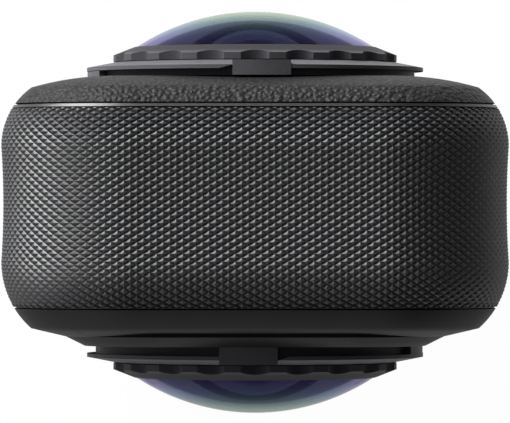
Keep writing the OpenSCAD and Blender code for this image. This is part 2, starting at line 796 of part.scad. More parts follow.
// Opening for the battery, and the open notches that the latches reach into
module battery_cuts() {
    side_slab(-half_w - past, past - cavity_x, pack_y, door_w + 2 * slip, door_l + 2 * slip, door_r + slip);
    for (s = [-1, 1])
        translate([-half_w - past, pack_y + s * latch_y - latch_l / 2 - slip, mid_z - latch_w / 2 - slip])
            cube([half_w + past - latch_floor_x, latch_l + 2 * slip, latch_w + 2 * slip]);
}

// Rebate, plug opening, knuckle pocket and pin hole for the USB door
module usb_cuts() {
    rebate_low = usb_door_low - swing_room;
    rebate_high = usb_door_top + slip;
    side_slab(usb_door_in_x - slip, half_w + past, (rebate_low + rebate_high) / 2, usb_door_w + 2 * slip,
        rebate_high - rebate_low, usb_door_r + slip);
    side_slab(cavity_x - past, half_w + past, usb_y, plug_size[1], plug_size[0], plug_r);
    pocket_r = knuckle_r + slip;
    pocket_l = knuckle_l + 2 * slip;
    translate([pin_x, pin_y, mid_z - pocket_l / 2]) {
        cylinder(r = pocket_r, h = pocket_l);
        translate([0, -pocket_r - heel_room, 0]) cube([half_w, pocket_r + heel_room + heel, pocket_l]);
        translate([usb_door_in_x - pin_x - slip, 0, 0]) cube([half_w, heel, pocket_l]);
    }
    translate([pin_x, pin_y, mid_z - pin_l / 2]) cylinder(r = pin_r + hair, h = pin_l);
}

module front_cover() {
    color("#2b2c30") difference() {
        union() {
            body_sweep(front_points);
            core(body_w, foot_proud, body_h, corner_r, front_rim, face_h);
            band(wall + slip, cavity_inset + past, frame_front - tongue_l, front_rim + front_skin / 2);
        }
        hollow(cavity_inset, frame_front - tongue_l - past, front_inner_h);
        rod([0, lens_y], cover_hole_r, 0, face_h + past);
        rod(front_pipe, pipe_r + hair, 0, face_h + past);
        rod(front_mic, mic_hole_r, 0, face_h + past);
        rod(front_mic, mesh_r + hair, face_h - mesh_t, face_h + past);
        for (k = [0:speaker_holes - 1])
            rod([speaker_at[0] + (k - (speaker_holes - 1) / 2) * speaker_step, speaker_at[1]], mic_hole_r,
                0, face_h + past);
    }
}

module rear_cover() {
    color("#1d1e21") {
        difference() {
            union() {
                body_sweep(rear_points);
                core(body_w, foot_proud, body_h, corner_r, -rear_slope_h, -rear_rim);
                band(wall + slip, cavity_inset + past, -rear_rim - rear_skin / 2, frame_back + tongue_l);
            }
            hollow(cavity_inset, -rear_inner_h, frame_back + tongue_l + past);
            slab(panel_w + 2 * clear, panel_low - clear, panel_top + clear, panel_r + clear,
                -face_h - past, -panel_foot_h);
            rear_openings();
        }
        for (s = [-1, 1])
            rod([s * key_post_x, rear_key_y], key_post_r,
                -rear_inner_h - rear_skin / 2, -rear_board_h);
    }
}

// Openings that the rear panel and the rear cover share
module rear_openings() {
    rod([0, lens_y], cover_hole_r, -face_h - past, 0);
    slab(glass_w - 2 * display_margin, glass_low + display_margin, glass_low + glass_l - display_margin,
        glass_r, -face_h - past, 0);
    for (s = [-1, 1])
        translate([s * rear_key_x, rear_key_y, -face_h - past])
            linear_extrude(face_h + past)
                rounded(rear_key_size[0] + 2 * slip, rear_key_size[1] + 2 * slip,
                    pill_r(rear_key_size[1] + 2 * slip));
    rod(rear_mic, mic_hole_r, -face_h - past, 0);
    rod(rear_pipe, pipe_r + hair, -face_h - past, 0);
}

module rear_panel() {
    color("#26272a") difference() {
        union() {
            sweep(panel_w, panel_low, panel_top, panel_r, panel_points);
            core(panel_w, panel_low, panel_top, panel_r, -rear_face_h, -panel_foot_h);
        }
        rear_openings();
        slab(glass_w + 2 * clear, glass_low - clear, glass_low + glass_l + clear, glass_r + clear,
            -face_h - past, -rear_face_h + glass_t);
        rod(rear_mic, mesh_r + hair, -face_h - past, -rear_face_h + mesh_t);
    }
}

module gasket(z0, z1) {
    color("#0c0c0d") band(groove_in + clear, groove_in + clear + gasket_w, z0, z1);
}

module front_gasket() {
    gasket(frame_front - gasket_depth, front_rim);
}

module rear_gasket() {
    gasket(-rear_rim, frame_back + gasket_depth);
}

// Base

module base_plate() {
    color("#2a2b2e") difference() {
        translate([0, 0, mid_z]) rotate([-90, 0, 0]) {
            linear_extrude(base_top + base_flange_t) rounded(base_size[0], base_size[1], base_r);
            translate([0, 0, base_top]) linear_extrude(base_flange_t)
                rounded(base_size[0] + 2 * base_flange, base_size[1] + 2 * base_flange, base_r);
            translate([0, 0, base_top]) cylinder(r = insert_r + insert_wall, h = base_collar_h - base_top);
        }
        translate([0, -past, mid_z]) rotate([-90, 0, 0])
            cylinder(r = insert_r + hair, h = base_collar_h + 2 * past);
        for (s = [-1, 1])
            translate([s * base_size[0] / 2 - notch_size[0], -past, mid_z - notch_size[1] / 2])
                cube([2 * notch_size[0], notch_size[2] + past, notch_size[1]]);
    }
}

module tripod_insert() {
    color("#b9bbbe") translate([0, insert_recess, mid_z]) rotate([-90, 0, 0]) difference() {
        cylinder(r = insert_r, h = insert_l);
        translate([0, 0, -past]) cylinder(r = thread_r, h = thread_l + past);
    }
}

// Screen

module screen_glass() {
    color("#0a0a0c") slab(glass_w, glass_low, glass_low + glass_l, glass_r, -rear_face_h,
        -rear_face_h + glass_t);
}

module display() {
    inset = display_margin + clear;
    color("#15171c") slab(glass_w - 2 * inset, glass_low + inset, glass_low + glass_l - inset,
        glass_r - clear, -rear_face_h + glass_t, -rear_face_h + glass_t + display_t);
}

// Chassis and its screws

// Places the three posts of one mount
module at_posts() {
    for (a = post_angles)
        rotate(a) translate([post_ring_r, 0, 0]) children();
}

module posts() {
    at_posts() cylinder(r = post_r, h = neck_h);
}

module post_bores() {
    at_posts() translate([0, 0, -web_t]) cylinder(r = mount_screw_r + hair, h = neck_h + web_t + past);
}

module chassis() {
    color("#8d9094") difference() {
        union() {
            translate([-web_w / 2, web_low, -web_t / 2]) cube([web_w, web_high - web_low, web_t]);
            translate([board_x0, board_low, leg_z]) cube([board_w, web_low - board_low, leg_t]);
            translate([board_x0, web_low - riser_l, leg_z]) cube([riser_w, 2 * riser_l, web_t / 2 - leg_z]);
            at_front() posts();
            at_rear() posts();
        }
        at_front() post_bores();
        at_rear() post_bores();
        both_sides()
            for (up = boss_up)
                rod([boss_screw_x, lens_y + up], chassis_screw_r + clear, -web_t, web_t);
        for (y = board_screw_y)
            rod([board_screw_x, y], board_screw_r + hair, leg_z - past, leg_z + leg_t + past);
    }
}

module chassis_screws() {
    color("silver") both_sides()
        for (up = boss_up)
            translate([boss_screw_x, lens_y + up, web_t / 2])
                screw(chassis_screw_r, web_t + boss_t - boss_floor);
}

module mount_screw_set() {
    at_posts() translate([0, 0, -web_t / 2]) mirror([0, 0, 1])
        screw(mount_screw_r, web_t / 2 + neck_h + mount_screw_bite);
}

module mount_screws() {
    color("silver") {
        at_front() mount_screw_set();
        at_rear() mount_screw_set();
    }
}

// Lens pieces, drawn along z about the lens axis

// Block under the mount's lip between two angles from the top of the body
module lip_block(span, flat, r, z) {
    rotate(90 + span[0]) rotate_extrude(angle = span[1] - span[0])
        translate([recess_r - past, flat]) square([r - recess_r + past, z - flat]);
}

// Ring segment used for lugs and slots
module arc_block(r0, r1, angle, z0, z1) {
    rotate(-angle / 2) rotate_extrude(angle = angle) translate([r0, z0]) square([r1 - r0, z1 - z0]);
}

module lens_mount(flat) {
    color("#3a3c40") difference() {
        union() {
            rotate_extrude() polygon([
                [shelf_r, neck_h], [neck_r, neck_h], [neck_r, flat], [recess_r, flat],
                [recess_r, lip_h - lip_t], [lip_r, lip_h - lip_t], [lip_r, lip_h], [ring_r, mount_top_h],
                [bore_r, mount_top_h], [bore_r, lug_top_h + clear], [groove_r, lug_top_h + clear],
                [groove_r, neck_h + shelf_t], [shelf_r, neck_h + shelf_t]
            ]);
            lip_block(block_spans[0], flat, lip_r + block_step, mount_top_h - block_step);
            for (k = [1:len(block_spans) - 1])
                lip_block(block_spans[k], flat, lip_r - block_step, lip_h - lip_t / 2);
        }
        rotate(90 + lead_in[0]) rotate_extrude(angle = lead_in[1] - lead_in[0])
            translate([recess_r, flat]) square([lip_r, lip_r]);
        for (a = lug_angles)
            rotate(a + twist)
                arc_block(skirt_in_r, groove_r, lug_angle + slot_spare, lug_top_h, mount_top_h + past);
        at_posts() translate([0, 0, neck_h - past])
            cylinder(r = mount_screw_r + hair, h = mount_screw_bite + hair + past);
    }
}

module lens_seal() {
    color("#101012") translate([0, 0, neck_h + shelf_t]) difference() {
        cylinder(r = skirt_r - clear, h = seal_t);
        translate([0, 0, -past]) cylinder(r = skirt_in_r + clear, h = seal_t + 2 * past);
    }
}

module lens_ring() {
    seat_r = dome_rim_r + hair;
    lip_in_r = dome_rim_r - dome_lip;
    seat_h = dome_at(dome_rim_r, dome_r - dome_t) - hair;
    lip_low_h = dome_at(lip_in_r, dome_r) + hair;
    color("#46484c") difference() {
        union() {
            rotate_extrude() polygon([
                [skirt_in_r, skirt_low_h], [skirt_r, skirt_low_h], [skirt_r, ring_foot_h],
                [ring_r, ring_foot_h], [ring_r, ring_wall_h], [lip_in_r, lip_low_h + dome_lip_t],
                [lip_in_r, lip_low_h], [seat_r, dome_at(dome_rim_r, dome_r) + hair], [seat_r, seat_h],
                [skirt_in_r, seat_h]
            ]);
            for (a = lug_angles)
                rotate(a)
                    arc_block(skirt_r - skirt_wall / 2, skirt_r + lug_out, lug_angle, skirt_low_h, lug_top_h);
        }
        for (k = [0:scallops - 1])
            rotate(90 + 360 * k / scallops)
                translate([ring_r - scallop_depth + scallop_r, 0, ring_foot_h - past / 2])
                    cylinder(r = scallop_r, h = 2 * past);
    }
}

module lens_dome() {
    color("#20304a") intersection() {
        difference() {
            translate([0, 0, dome_z]) sphere(dome_r);
            translate([0, 0, dome_z]) sphere(dome_r - dome_t);
        }
        cylinder(r = dome_rim_r, h = lens_span);
    }
}

module lens_barrel() {
    foot_h = web_t / 2 + sensor_board_t;
    sensor_h = foot_h + sensor_t + clear;
    sensor_r = barrel_foot_r - barrel_wall;
    light_r = inner_lens_r - inner_seat;
    seat_r = inner_lens_r + hair;
    flare = barrel_r - barrel_foot_r;
    color("#18191b") rotate_extrude() polygon([
        [sensor_r, foot_h], [barrel_foot_r, foot_h], [barrel_foot_r, neck_h - flare - past],
        [barrel_r, neck_h - past], [barrel_r, barrel_h], [fisheye_r + hair, barrel_h],
        [fisheye_r + hair, fisheye_seat_h], [fisheye_hollow - past, fisheye_seat_h],
        [seat_r, inner_seat_h + inner_seat_l + clear], [seat_r, inner_seat_h], [light_r, inner_seat_h],
        [light_r, sensor_h], [sensor_r, sensor_h]
    ]);
}

module fisheye_lens() {
    color("#2a3f6a") difference() {
        intersection() {
            translate([0, 0, fisheye_tip_h - fisheye_curve]) sphere(fisheye_curve);
            translate([0, 0, fisheye_seat_h]) cylinder(r = fisheye_r, h = fisheye_curve);
        }
        translate([0, 0, fisheye_tip_h - fisheye_t - fisheye_hollow]) sphere(fisheye_hollow);
    }
}

module inner_lens() {
    color("#3d5a8a") intersection() {
        translate([0, 0, inner_seat_h + inner_lens_t - inner_curve]) sphere(inner_curve);
        translate([0, 0, inner_seat_h]) cylinder(r = inner_lens_r, h = inner_lens_t + past);
    }
}

module image_sensor() {
    color("#3b4250") translate([-sensor_size[0] / 2, -sensor_size[1] / 2, web_t / 2 + sensor_board_t])
        cube([sensor_size[0], sensor_size[1], sensor_t]);
}

module sensor_board() {
    color("#1f5b3a") translate([0, 0, web_t / 2])
        linear_extrude(sensor_board_t) rounded(sensor_board_w, sensor_board_w, board_r);
}

// Battery

module battery_bay() {
    color("#2d2f33") difference() {
        translate([hair - cavity_x, bay_low, mid_z - bay_depth / 2])
            cube([cavity_x - hair + bay_end_x, bay_top - bay_low, bay_depth]);
        translate([-half_w, pack_low - slip, mid_z - pack_t / 2 - slip])
            cube([half_w + pack_past + slip, pack_l + 2 * slip, pack_t + 2 * slip]);
        translate([pack_past, contact_y - contact_size[0] / 2 - clear, board_z + board_t - clear])
            cube([half_w, contact_size[0] + 2 * clear, contact_size[2] + 2 * clear]);
    }
}

module battery_pack() {
    color("#3c3f45") translate([-door_in_x, pack_low, mid_z - pack_t / 2]) cube([pack_d, pack_l, pack_t]);
}

module battery_door() {
    color("#2f3135") difference() {
        side_slab(-side_x, -door_in_x, pack_y, door_w, door_l, door_r);
        for (s = [-1, 1]) {
            free_l = latch_l + latch_travel + slip;
            translate([-half_w - past, pack_y + s * (door_l / 2 + latch_bite - free_l / 2) - free_l / 2,
                mid_z - latch_w / 2 - slip])
                cube([half_w + past - latch_floor_x, free_l, latch_w + 2 * slip]);
        }
    }
}

module battery_seal() {
    color("#111113") difference() {
        side_slab(-door_in_x, -door_in_x + battery_seal_t, pack_y, pack_t + 2 * seal_w + 2 * clear,
            pack_l + 2 * seal_w + 2 * clear, seal_w);
        translate([-half_w, pack_low - clear, mid_z - pack_t / 2 - clear])
            cube([half_w, pack_l + 2 * clear, pack_t + 2 * clear]);
    }
}

// Latch at the upper or lower end of the battery door, with the ribs that a thumb pulls
module latch(s) {
    rib_y = pack_y + s * (latch_y - rib_shift);
    color("#4a4c51") {
        translate([-side_x, pack_y + s * latch_y - latch_l / 2, mid_z - latch_w / 2])
            cube([latch_t, latch_l, latch_w]);
        for (k = [0:latch_ribs - 1])
            translate([-half_w, rib_y + (k - (latch_ribs - 1) / 2) * rib_step - rib_w / 2,
                mid_z - latch_w / 2 + rib_w])
                cube([side_inset + latch_t / 2, rib_w, latch_w - 2 * rib_w]);
    }
}

module upper_latch() {
    latch(1);
}

module lower_latch() {
    latch(-1);
}

module battery_contacts() {
    color("#c9a24a") translate([pack_past + clear, contact_y - contact_size[0] / 2, board_z + board_t])
        cube([contact_size[1], contact_size[0], contact_size[2]]);
}

// Memory card

module card_socket() {
    slot = [card_size[0] + card_travel, card_size[2] + 2 * clear, card_size[1] + 2 * clear];
    color("#a9adb2") difference() {
        translate([card_x + card_out, bay_top, mid_z - slot[2] / 2 - socket_wall])
            cube([slot[0] + socket_wall - card_out, slot[1] + 2 * socket_wall, slot[2] + 2 * socket_wall]);
        translate([card_x, bay_top + socket_wall, mid_z - slot[2] / 2]) cube(slot);
    }
}

module memory_card() {
    color("#202226") translate([card_x, card_y, mid_z - card_size[1] / 2])
        cube([card_size[0], card_size[2], card_size[1]]);
}

// Main board

module main_board() {
    color("#1d5236") difference() {
        translate([board_x0, board_low, board_z]) cube([board_w, board_top - board_low, board_t]);
        for (y = board_screw_y)
            rod([board_screw_x, y], board_screw_r + clear, board_z - past, board_z + board_t + past);
    }
}

module board_screws() {
    color("silver") for (y = board_screw_y)
        translate([board_screw_x, y, board_z + board_t]) screw(board_screw_r, board_t + leg_t);
}

// Centres a piece on the main board's front face at the processor's height
module on_board() {
    translate([board_x1 - shield_edge - shield_w / 2, processor_y, board_z + board_t]) children();
}

module processor() {
    color("#26282c") on_board() translate([-processor_w / 2, -processor_w / 2, 0])
        cube([processor_w, processor_w, processor_t]);
}

module shield_can() {
    room = shield_w - 2 * shield_wall;
    color("#b4b7bb") on_board() difference() {
        translate([-shield_w / 2, -shield_w / 2, 0]) cube([shield_w, shield_w, shield_h]);
        translate([-room / 2, -room / 2, -past]) cube([room, room, shield_h - shield_wall + past]);
    }
}

// USB

module usb_socket() {
    mouth_x = cavity_x - clear;
    lining = usb_size[1] - 2 * usb_wall;
    color("#c4c7ca") {
        difference() {
            side_slab(mouth_x - usb_size[2], mouth_x, usb_y, usb_size[1], usb_size[0], pill_r(usb_size[1]));
            side_slab(mouth_x - usb_size[2] + usb_back, mouth_x + past, usb_y, lining,
                usb_size[0] - 2 * usb_wall, pill_r(lining));
        }
        side_slab(mouth_x - usb_size[2] + usb_back / 2, mouth_x - usb_tongue_back, usb_y, usb_tongue[0],
            usb_tongue[1], usb_tongue[0] / 4);
    }
}

module usb_door() {
    color("#2f3135") difference() {
        union() {
            side_slab(usb_door_in_x, side_x, usb_door_y, usb_door_w, usb_door_l, usb_door_r);
            translate([pin_x, pin_y, mid_z - knuckle_l / 2]) {
                cylinder(r = knuckle_r, h = knuckle_l);
                translate([usb_door_in_x - pin_x, 0, 0])
                    cube([usb_door_t, heel + past, knuckle_l]);
            }
        }
        translate([pin_x, pin_y, mid_z - knuckle_l]) cylinder(r = pin_r + pin_fit, h = 2 * knuckle_l);
    }
}

module usb_door_seal() {
    color("#131315") side_slab(usb_door_in_x - usb_seal_t, usb_door_in_x, usb_y, plug_size[1] - 4 * slip,
        plug_size[0] - 4 * slip, plug_r - 2 * slip);
}

module usb_door_pin() {
    color("silver") translate([pin_x, pin_y, mid_z - pin_l / 2]) cylinder(r = pin_r, h = pin_l);
}

// Keys

module side_button(y) {
    color("#3f4146") {
        side_slab(key_rest_x, side_x + key_proud, y, side_key_size[1], side_key_size[0],
            pill_r(side_key_size[1]));
        side_slab(key_rest_x, key_rest_x + key_flange_t, y, side_key_size[1] + 2 * key_flange,
            side_key_size[0] + 2 * key_flange, pill_r(side_key_size[1] + 2 * key_flange));
    }
}

module power_button() {
    side_button(side_key_y[0]);
}

module quick_button() {
    side_button(side_key_y[1]);
}

module side_key_board() {
    color("#1f5b3a") side_slab(side_board_x, side_board_x + key_board_t, side_board_y, side_board_w,
        side_board_l, board_r);
}

module side_switches() {
    color("#c8cacc") for (y = side_key_y)
        side_slab(side_switch_x, side_switch_x + switch_t, y, switch_w, switch_w, board_r);
}

module rear_button(s) {
    translate([s * rear_key_x, rear_key_y, -rear_face_h - key_proud])
        linear_extrude(rear_face_h + key_proud - rear_key_rest_h)
            rounded(rear_key_size[0], rear_key_size[1], pill_r(rear_key_size[1]));
    translate([s * rear_key_x, rear_key_y, -rear_key_rest_h - key_flange_t])
        linear_extrude(key_flange_t)
            rounded(rear_key_size[0] + 2 * key_flange, rear_key_size[1] + 2 * key_flange,
                pill_r(rear_key_size[1] + 2 * key_flange));
}

module shutter_button() {
    color("#3f4146") rear_button(1);
}

module switch_button() {
    color("#3f4146") rear_button(-1);
}

module rear_key_board() {
    color("#1f5b3a") slab(rear_board_w, rear_key_y - rear_board_l / 2, rear_key_y + rear_board_l / 2, board_r,
        -rear_board_h, -rear_board_h + key_board_t);
}

module rear_switches() {
    color("#c8cacc") for (s = [-1, 1])
        translate([s * rear_key_x, rear_key_y, -rear_switch_h])
            linear_extrude(switch_t) rounded(switch_w, switch_w, board_r);
}

// Sound and lights

module speaker() {
    color("#26282b") translate([speaker_at[0], speaker_at[1], front_inner_h] - speaker_reach)
        cube(speaker_size);
}

// Microphone whose open face lies at the origin and looks along z
module microphone() {
    translate([-mic_size[0] / 2, -mic_size[1] / 2, -mic_size[2]]) cube(mic_size);
}

module microphones() {
    color("#c0b27a") {
        translate([front_mic[0], front_mic[1], front_inner_h]) microphone();
        translate([rear_mic[0], rear_mic[1], -rear_inner_h]) rotate([0, 180, 0]) microphone();
        both_sides() translate([cavity_x, side_mic_y, mid_z]) rotate([0, 90, 0]) microphone();
    }
}

module microphone_meshes() {
    color("#0d0d0e") {
        rod(front_mic, mesh_r, face_h - mesh_t, face_h);
        rod(rear_mic, mesh_r, -rear_face_h, -rear_face_h + mesh_t);
        both_sides() side_rod(side_x - mesh_t, mesh_t, side_mic_y, mesh_r);
    }
}

module light_pipe(at, inner_h, outer_h) {
    rod(at, pipe_r, inner_h - pipe_flange_l, outer_h);
    rod(at, pipe_r + pipe_flange, inner_h - pipe_flange_l, inner_h);
}

module light_pipes() {
    color("#e8e8e4") {
        light_pipe(front_pipe, front_inner_h, face_h);
        rotate([0, 180, 0]) light_pipe([-rear_pipe[0], rear_pipe[1]], rear_inner_h, rear_face_h);
    }
}

stand() grip_frame();
stand() front_cover();
stand() rear_cover();
stand() rear_panel();
stand() front_gasket();
stand() rear_gasket();
stand() base_plate();
stand() tripod_insert();
stand() screen_glass();
stand() display();
stand() chassis();
stand() chassis_screws();
stand() mount_screws();
stand() at_front() lens_mount(face_h);  // front_lens_mount
stand() at_front() lens_seal();  // front_lens_seal
stand() at_front() lens_ring();  // front_lens_ring
stand() at_front() lens_dome();  // front_dome
stand() at_front() lens_barrel();  // front_lens_barrel
stand() at_front() fisheye_lens();  // front_fisheye_lens
stand() at_front() inner_lens();  // front_inner_lens
stand() at_front() image_sensor();  // front_image_sensor
stand() at_front() sensor_board();  // front_sensor_board
stand() at_rear() lens_mount(rear_face_h);  // rear_lens_mount
stand() at_rear() lens_seal();  // rear_lens_seal
stand() at_rear() lens_ring();  // rear_lens_ring
stand() at_rear() lens_dome();  // rear_dome
stand() at_rear() lens_barrel();  // rear_lens_barrel
stand() at_rear() fisheye_lens();  // rear_fisheye_lens
stand() at_rear() inner_lens();  // rear_inner_lens
stand() at_rear() image_sensor();  // rear_image_sensor
stand() at_rear() sensor_board();  // rear_sensor_board
stand() battery_bay();
stand() battery_pack();
stand() battery_door();
stand() battery_seal();
stand() upper_latch();
stand() lower_latch();
stand() battery_contacts();
stand() card_socket();
stand() memory_card();
stand() main_board();
stand() board_screws();
stand() processor();
stand() shield_can();
stand() usb_socket();
stand() usb_door();
stand() usb_door_seal();
stand() usb_door_pin();
stand() power_button();
stand() quick_button();
stand() side_key_board();
stand() side_switches();
stand() shutter_button();
stand() switch_button();
stand() rear_key_board();
stand() rear_switches();
stand() speaker();
stand() microphones();
stand() microphone_meshes();
stand() light_pipes();
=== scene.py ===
import math

import bmesh
import bpy
import numpy
from mathutils import Matrix, Vector


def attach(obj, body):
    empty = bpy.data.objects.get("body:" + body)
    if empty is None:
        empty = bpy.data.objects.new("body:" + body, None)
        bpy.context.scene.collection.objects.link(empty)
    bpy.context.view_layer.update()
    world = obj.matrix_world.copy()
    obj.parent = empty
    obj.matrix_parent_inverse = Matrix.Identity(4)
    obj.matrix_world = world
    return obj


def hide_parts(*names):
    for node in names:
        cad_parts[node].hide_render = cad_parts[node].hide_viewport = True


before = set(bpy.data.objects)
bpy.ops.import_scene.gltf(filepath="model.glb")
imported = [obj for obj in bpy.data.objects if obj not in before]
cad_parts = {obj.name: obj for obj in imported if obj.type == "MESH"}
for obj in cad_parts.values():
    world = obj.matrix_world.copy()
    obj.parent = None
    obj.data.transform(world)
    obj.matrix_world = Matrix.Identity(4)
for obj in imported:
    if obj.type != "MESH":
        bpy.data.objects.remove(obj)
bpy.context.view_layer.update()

scene = bpy.context.scene
scene.view_settings.view_transform = "Standard"

# The viewpoint
# The camera stands on its foot and is looked at from straight above its top end,
# with the front edge uppermost, through a long lens.
view_lens = bpy.data.cameras.new("viewpoint")
view_lens.sensor_width = 36
view_lens.lens = 430
viewpoint = bpy.data.objects.new("viewpoint", view_lens)
viewpoint.location = (0.000005, -0.00007, 0.654)
viewpoint.rotation_euler = (0, 0, math.pi)
scene.collection.objects.link(viewpoint)
scene.camera = viewpoint

# The grip frame
# A moulded ring of glass-filled nylon that goes round the two ends and the two sides.
# Its outer skin is cut into a fine diamond knurl, so that the hand doesn't slip.
# Sizes are in millimetres. A depth is how far a place lies in front of the middle plane.
mm = 0.001
hair = 0.01
weld = 0.002
half_wide = 23
foot = 0.5
top = 114
corner = 12
front_edge_start = 6
front_edge_radius = 6.5
rear_edge_start = -4.5
rear_edge_radius = 8
waist_deep = 0.18
waist_mid = 0.75
waist_half = 5.25
band_rear = -8.6
band_front = 9.45
land_front = 9.7
land_deep = 0.5
knurl_deep = 0.14
knurl_bevel = 0.22
knurls_round = 256
knurls_across = 27
flat_end = half_wide - corner
corner_run = corner * math.pi / 2
side_run = top - foot - 2 * corner
round_run = 4 * flat_end + 2 * side_run + 4 * corner_run


def tint(*levels):
    """A colour from its three display levels, 0 to 255."""
    return (*[((v / 255 + 0.055) / 1.055) ** 2.4 if v > 10 else v / 3295 for v in levels], 1)


class Wire:
    """One value inside a finish. Sums on it add Math nodes."""

    def __init__(self, finish, socket):
        self.finish = finish
        self.socket = socket

    def sum(self, kind, first, second):
        return self.finish.node("Math", {"operation": kind}, {0: first, 1: second})

    def __add__(self, other):
        return self.sum("ADD", self, other)

    def __sub__(self, other):
        return self.sum("SUBTRACT", self, other)

    def __rsub__(self, other):
        return self.sum("SUBTRACT", other, self)

    def __mul__(self, other):
        return self.sum("MULTIPLY", self, other)

    def __pow__(self, other):
        return self.sum("POWER", self, other)

    __radd__ = __add__
    __rmul__ = __mul__


class Nodes:
    """A node tree to which nodes are added one at a time."""

    def __init__(self, tree):
        self.tree = tree

    def node(self, kind, settings, sockets, out=0):
        """Adds a node with its settings and the values or links of its sockets, and gives one output."""
        made = self.tree.nodes.new("ShaderNode" + kind)
        for name, value in settings.items():
            if name == "stops":
                while len(made.color_ramp.elements) < len(value):
                    made.color_ramp.elements.new(1)
                for stop, (place, colour) in zip(made.color_ramp.elements, value):
                    stop.position = place
                    stop.color = colour
            else:
                setattr(made, name, value)
        for socket, value in sockets.items():
            if isinstance(value, Wire):
                self.tree.links.new(value.socket, made.inputs[socket])
            else:
                made.inputs[socket].default_value = value
        return Wire(self, made.outputs[out])

    def ramp(self, share, *stops):
        """A colour that runs through the stops, each a place and a colour."""
        return self.node("ValToRGB", {"stops": stops}, {"Fac": share})

    def span(self, value, low, high):
        """How far a value has come from low to high, from 0 to 1."""
        return self.node("MapRange", {}, {"Value": value, "From Min": low, "From Max": high})

    def capped(self, value, limit):
        """A value that goes no higher than a limit."""
        return self.node("Math", {"operation": "MINIMUM"}, {0: value, 1: limit})

    def blend(self, share, first, second):
        """A colour between two others."""
        return self.node("Mix", {"data_type": "RGBA"}, {0: share, 6: first, 7: second}, 2)


class Finish(Nodes):
    """A surface finish made of nodes round one Principled shader, with its fixed sockets."""

    def __init__(self, name, fixed):
        self.material = bpy.data.materials.new(name)
        self.material.use_nodes = True
        super().__init__(self.material.node_tree)
        self.shader = self.tree.nodes["Principled BSDF"]
        for socket, value in fixed.items():
            self.shader.inputs[socket].default_value = value

    def spot(self):
        return self.node("TexCoord", {}, {}, "Object")

    def place(self, axis):
        return self.node("SeparateXYZ", {}, {"Vector": self.spot()}, axis)

    def noise(self, size, detail=2):
        """Soft noise whose patches are about so many millimetres across."""
        scale = 1 / (size * mm)
        return self.node("TexNoise", {}, {"Vector": self.spot(), "Scale": scale, "Detail": detail})

    def feed(self, socket, wire):
        self.tree.links.new(wire.socket, self.shader.inputs[socket])

    def relief(self, height, deep):
        """Bumps that follow a height, so many millimetres deep."""
        self.feed("Normal", self.node("Bump", {}, {"Distance": deep * mm, "Height": height}, "Normal"))

    def cover(self, share, shader):
        """Lays another shader over the finish's own, by a share from 0 to 1."""
        own = Wire(self, self.shader.outputs[0])
        mixed = self.node("MixShader", {}, {0: share, 1: own, 2: shader})
        self.tree.links.new(mixed.socket, self.tree.nodes["Material Output"].inputs["Surface"])


def moulded(name, dark, pale, rough, grain, deep, gloss=0.5):
    """A moulded finish: two close colours in soft clouds, with a spark-eroded grain."""
    cloud_size, cloud_share, rough_swing = 5, 0.6, 0.16
    finish = Finish(name, {"Specular IOR Level": gloss})
    clouds = finish.noise(cloud_size)
    grit = finish.noise(grain, detail=3)
    finish.feed("Base Color", finish.blend(clouds * cloud_share + grit * (1 - cloud_share), dark, pale))
    finish.feed("Roughness", grit * rough_swing + (rough - rough_swing / 2))
    finish.relief(grit, deep)
    return finish


def outside(x, y, half_x, half_y, r):
    """How far a point lies outside a rounded rectangle; less than nothing inside it."""
    over_x = abs(x) - half_x + r
    over_y = abs(y) - half_y + r
    return math.hypot(max(over_x, 0), max(over_y, 0)) + min(max(over_x, over_y), 0) - r


def outline(along):
    """Place and outward direction on the frame's outline, so far along it from the middle of the foot."""
    along %= round_run
    side = 1
    if along > round_run / 2:
        along = round_run - along
        side = -1
    if along < flat_end:
        x, z, out_x, out_z = along, foot, 0, -1
    elif along < flat_end + corner_run:
        turn = (along - flat_end) / corner
        out_x, out_z = math.sin(turn), -math.cos(turn)
        x, z = flat_end + corner * out_x, foot + corner + corner * out_z
    elif along < flat_end + corner_run + side_run:
        x, z, out_x, out_z = half_wide, foot + corner + along - flat_end - corner_run, 1, 0
    elif along < flat_end + 2 * corner_run + side_run:
        turn = (along - flat_end - corner_run - side_run) / corner
        out_x, out_z = math.cos(turn), math.sin(turn)
        x, z = flat_end + corner * out_x, top - corner + corner * out_z
    else:
        x, z, out_x, out_z = round_run / 2 - along, top, 0, 1
    return side * x, z, side * out_x, out_z


def inset(depth):
    """How far the frame's skin lies inside its outline at a depth."""
    if depth > front_edge_start:
        return front_edge_radius - math.sqrt(front_edge_radius**2 - (depth - front_edge_start) ** 2)
    if depth < rear_edge_start:
        return rear_edge_radius - math.sqrt(rear_edge_radius**2 - (depth - rear_edge_start) ** 2)
    return waist_deep * (1 - ((depth - waist_mid) / waist_half) ** 2)


def skin(along, depth, out):
    """A point on the frame's skin, or so far out of it."""
    x, z, out_x, out_z = outline(along)
    lean = (inset(depth + hair) - inset(depth - hair)) / (2 * hair)
    steep = math.hypot(1, lean)
    back = inset(depth) - out / steep
    return Vector((x - out_x * back, -depth - out * lean / steep, z - out_z * back)) * mm


def on_side(height, side):
    """How far along the outline a height on the right (1) or left (-1) side lies."""
    return side * (flat_end + corner_run + height - foot - corner) % round_run


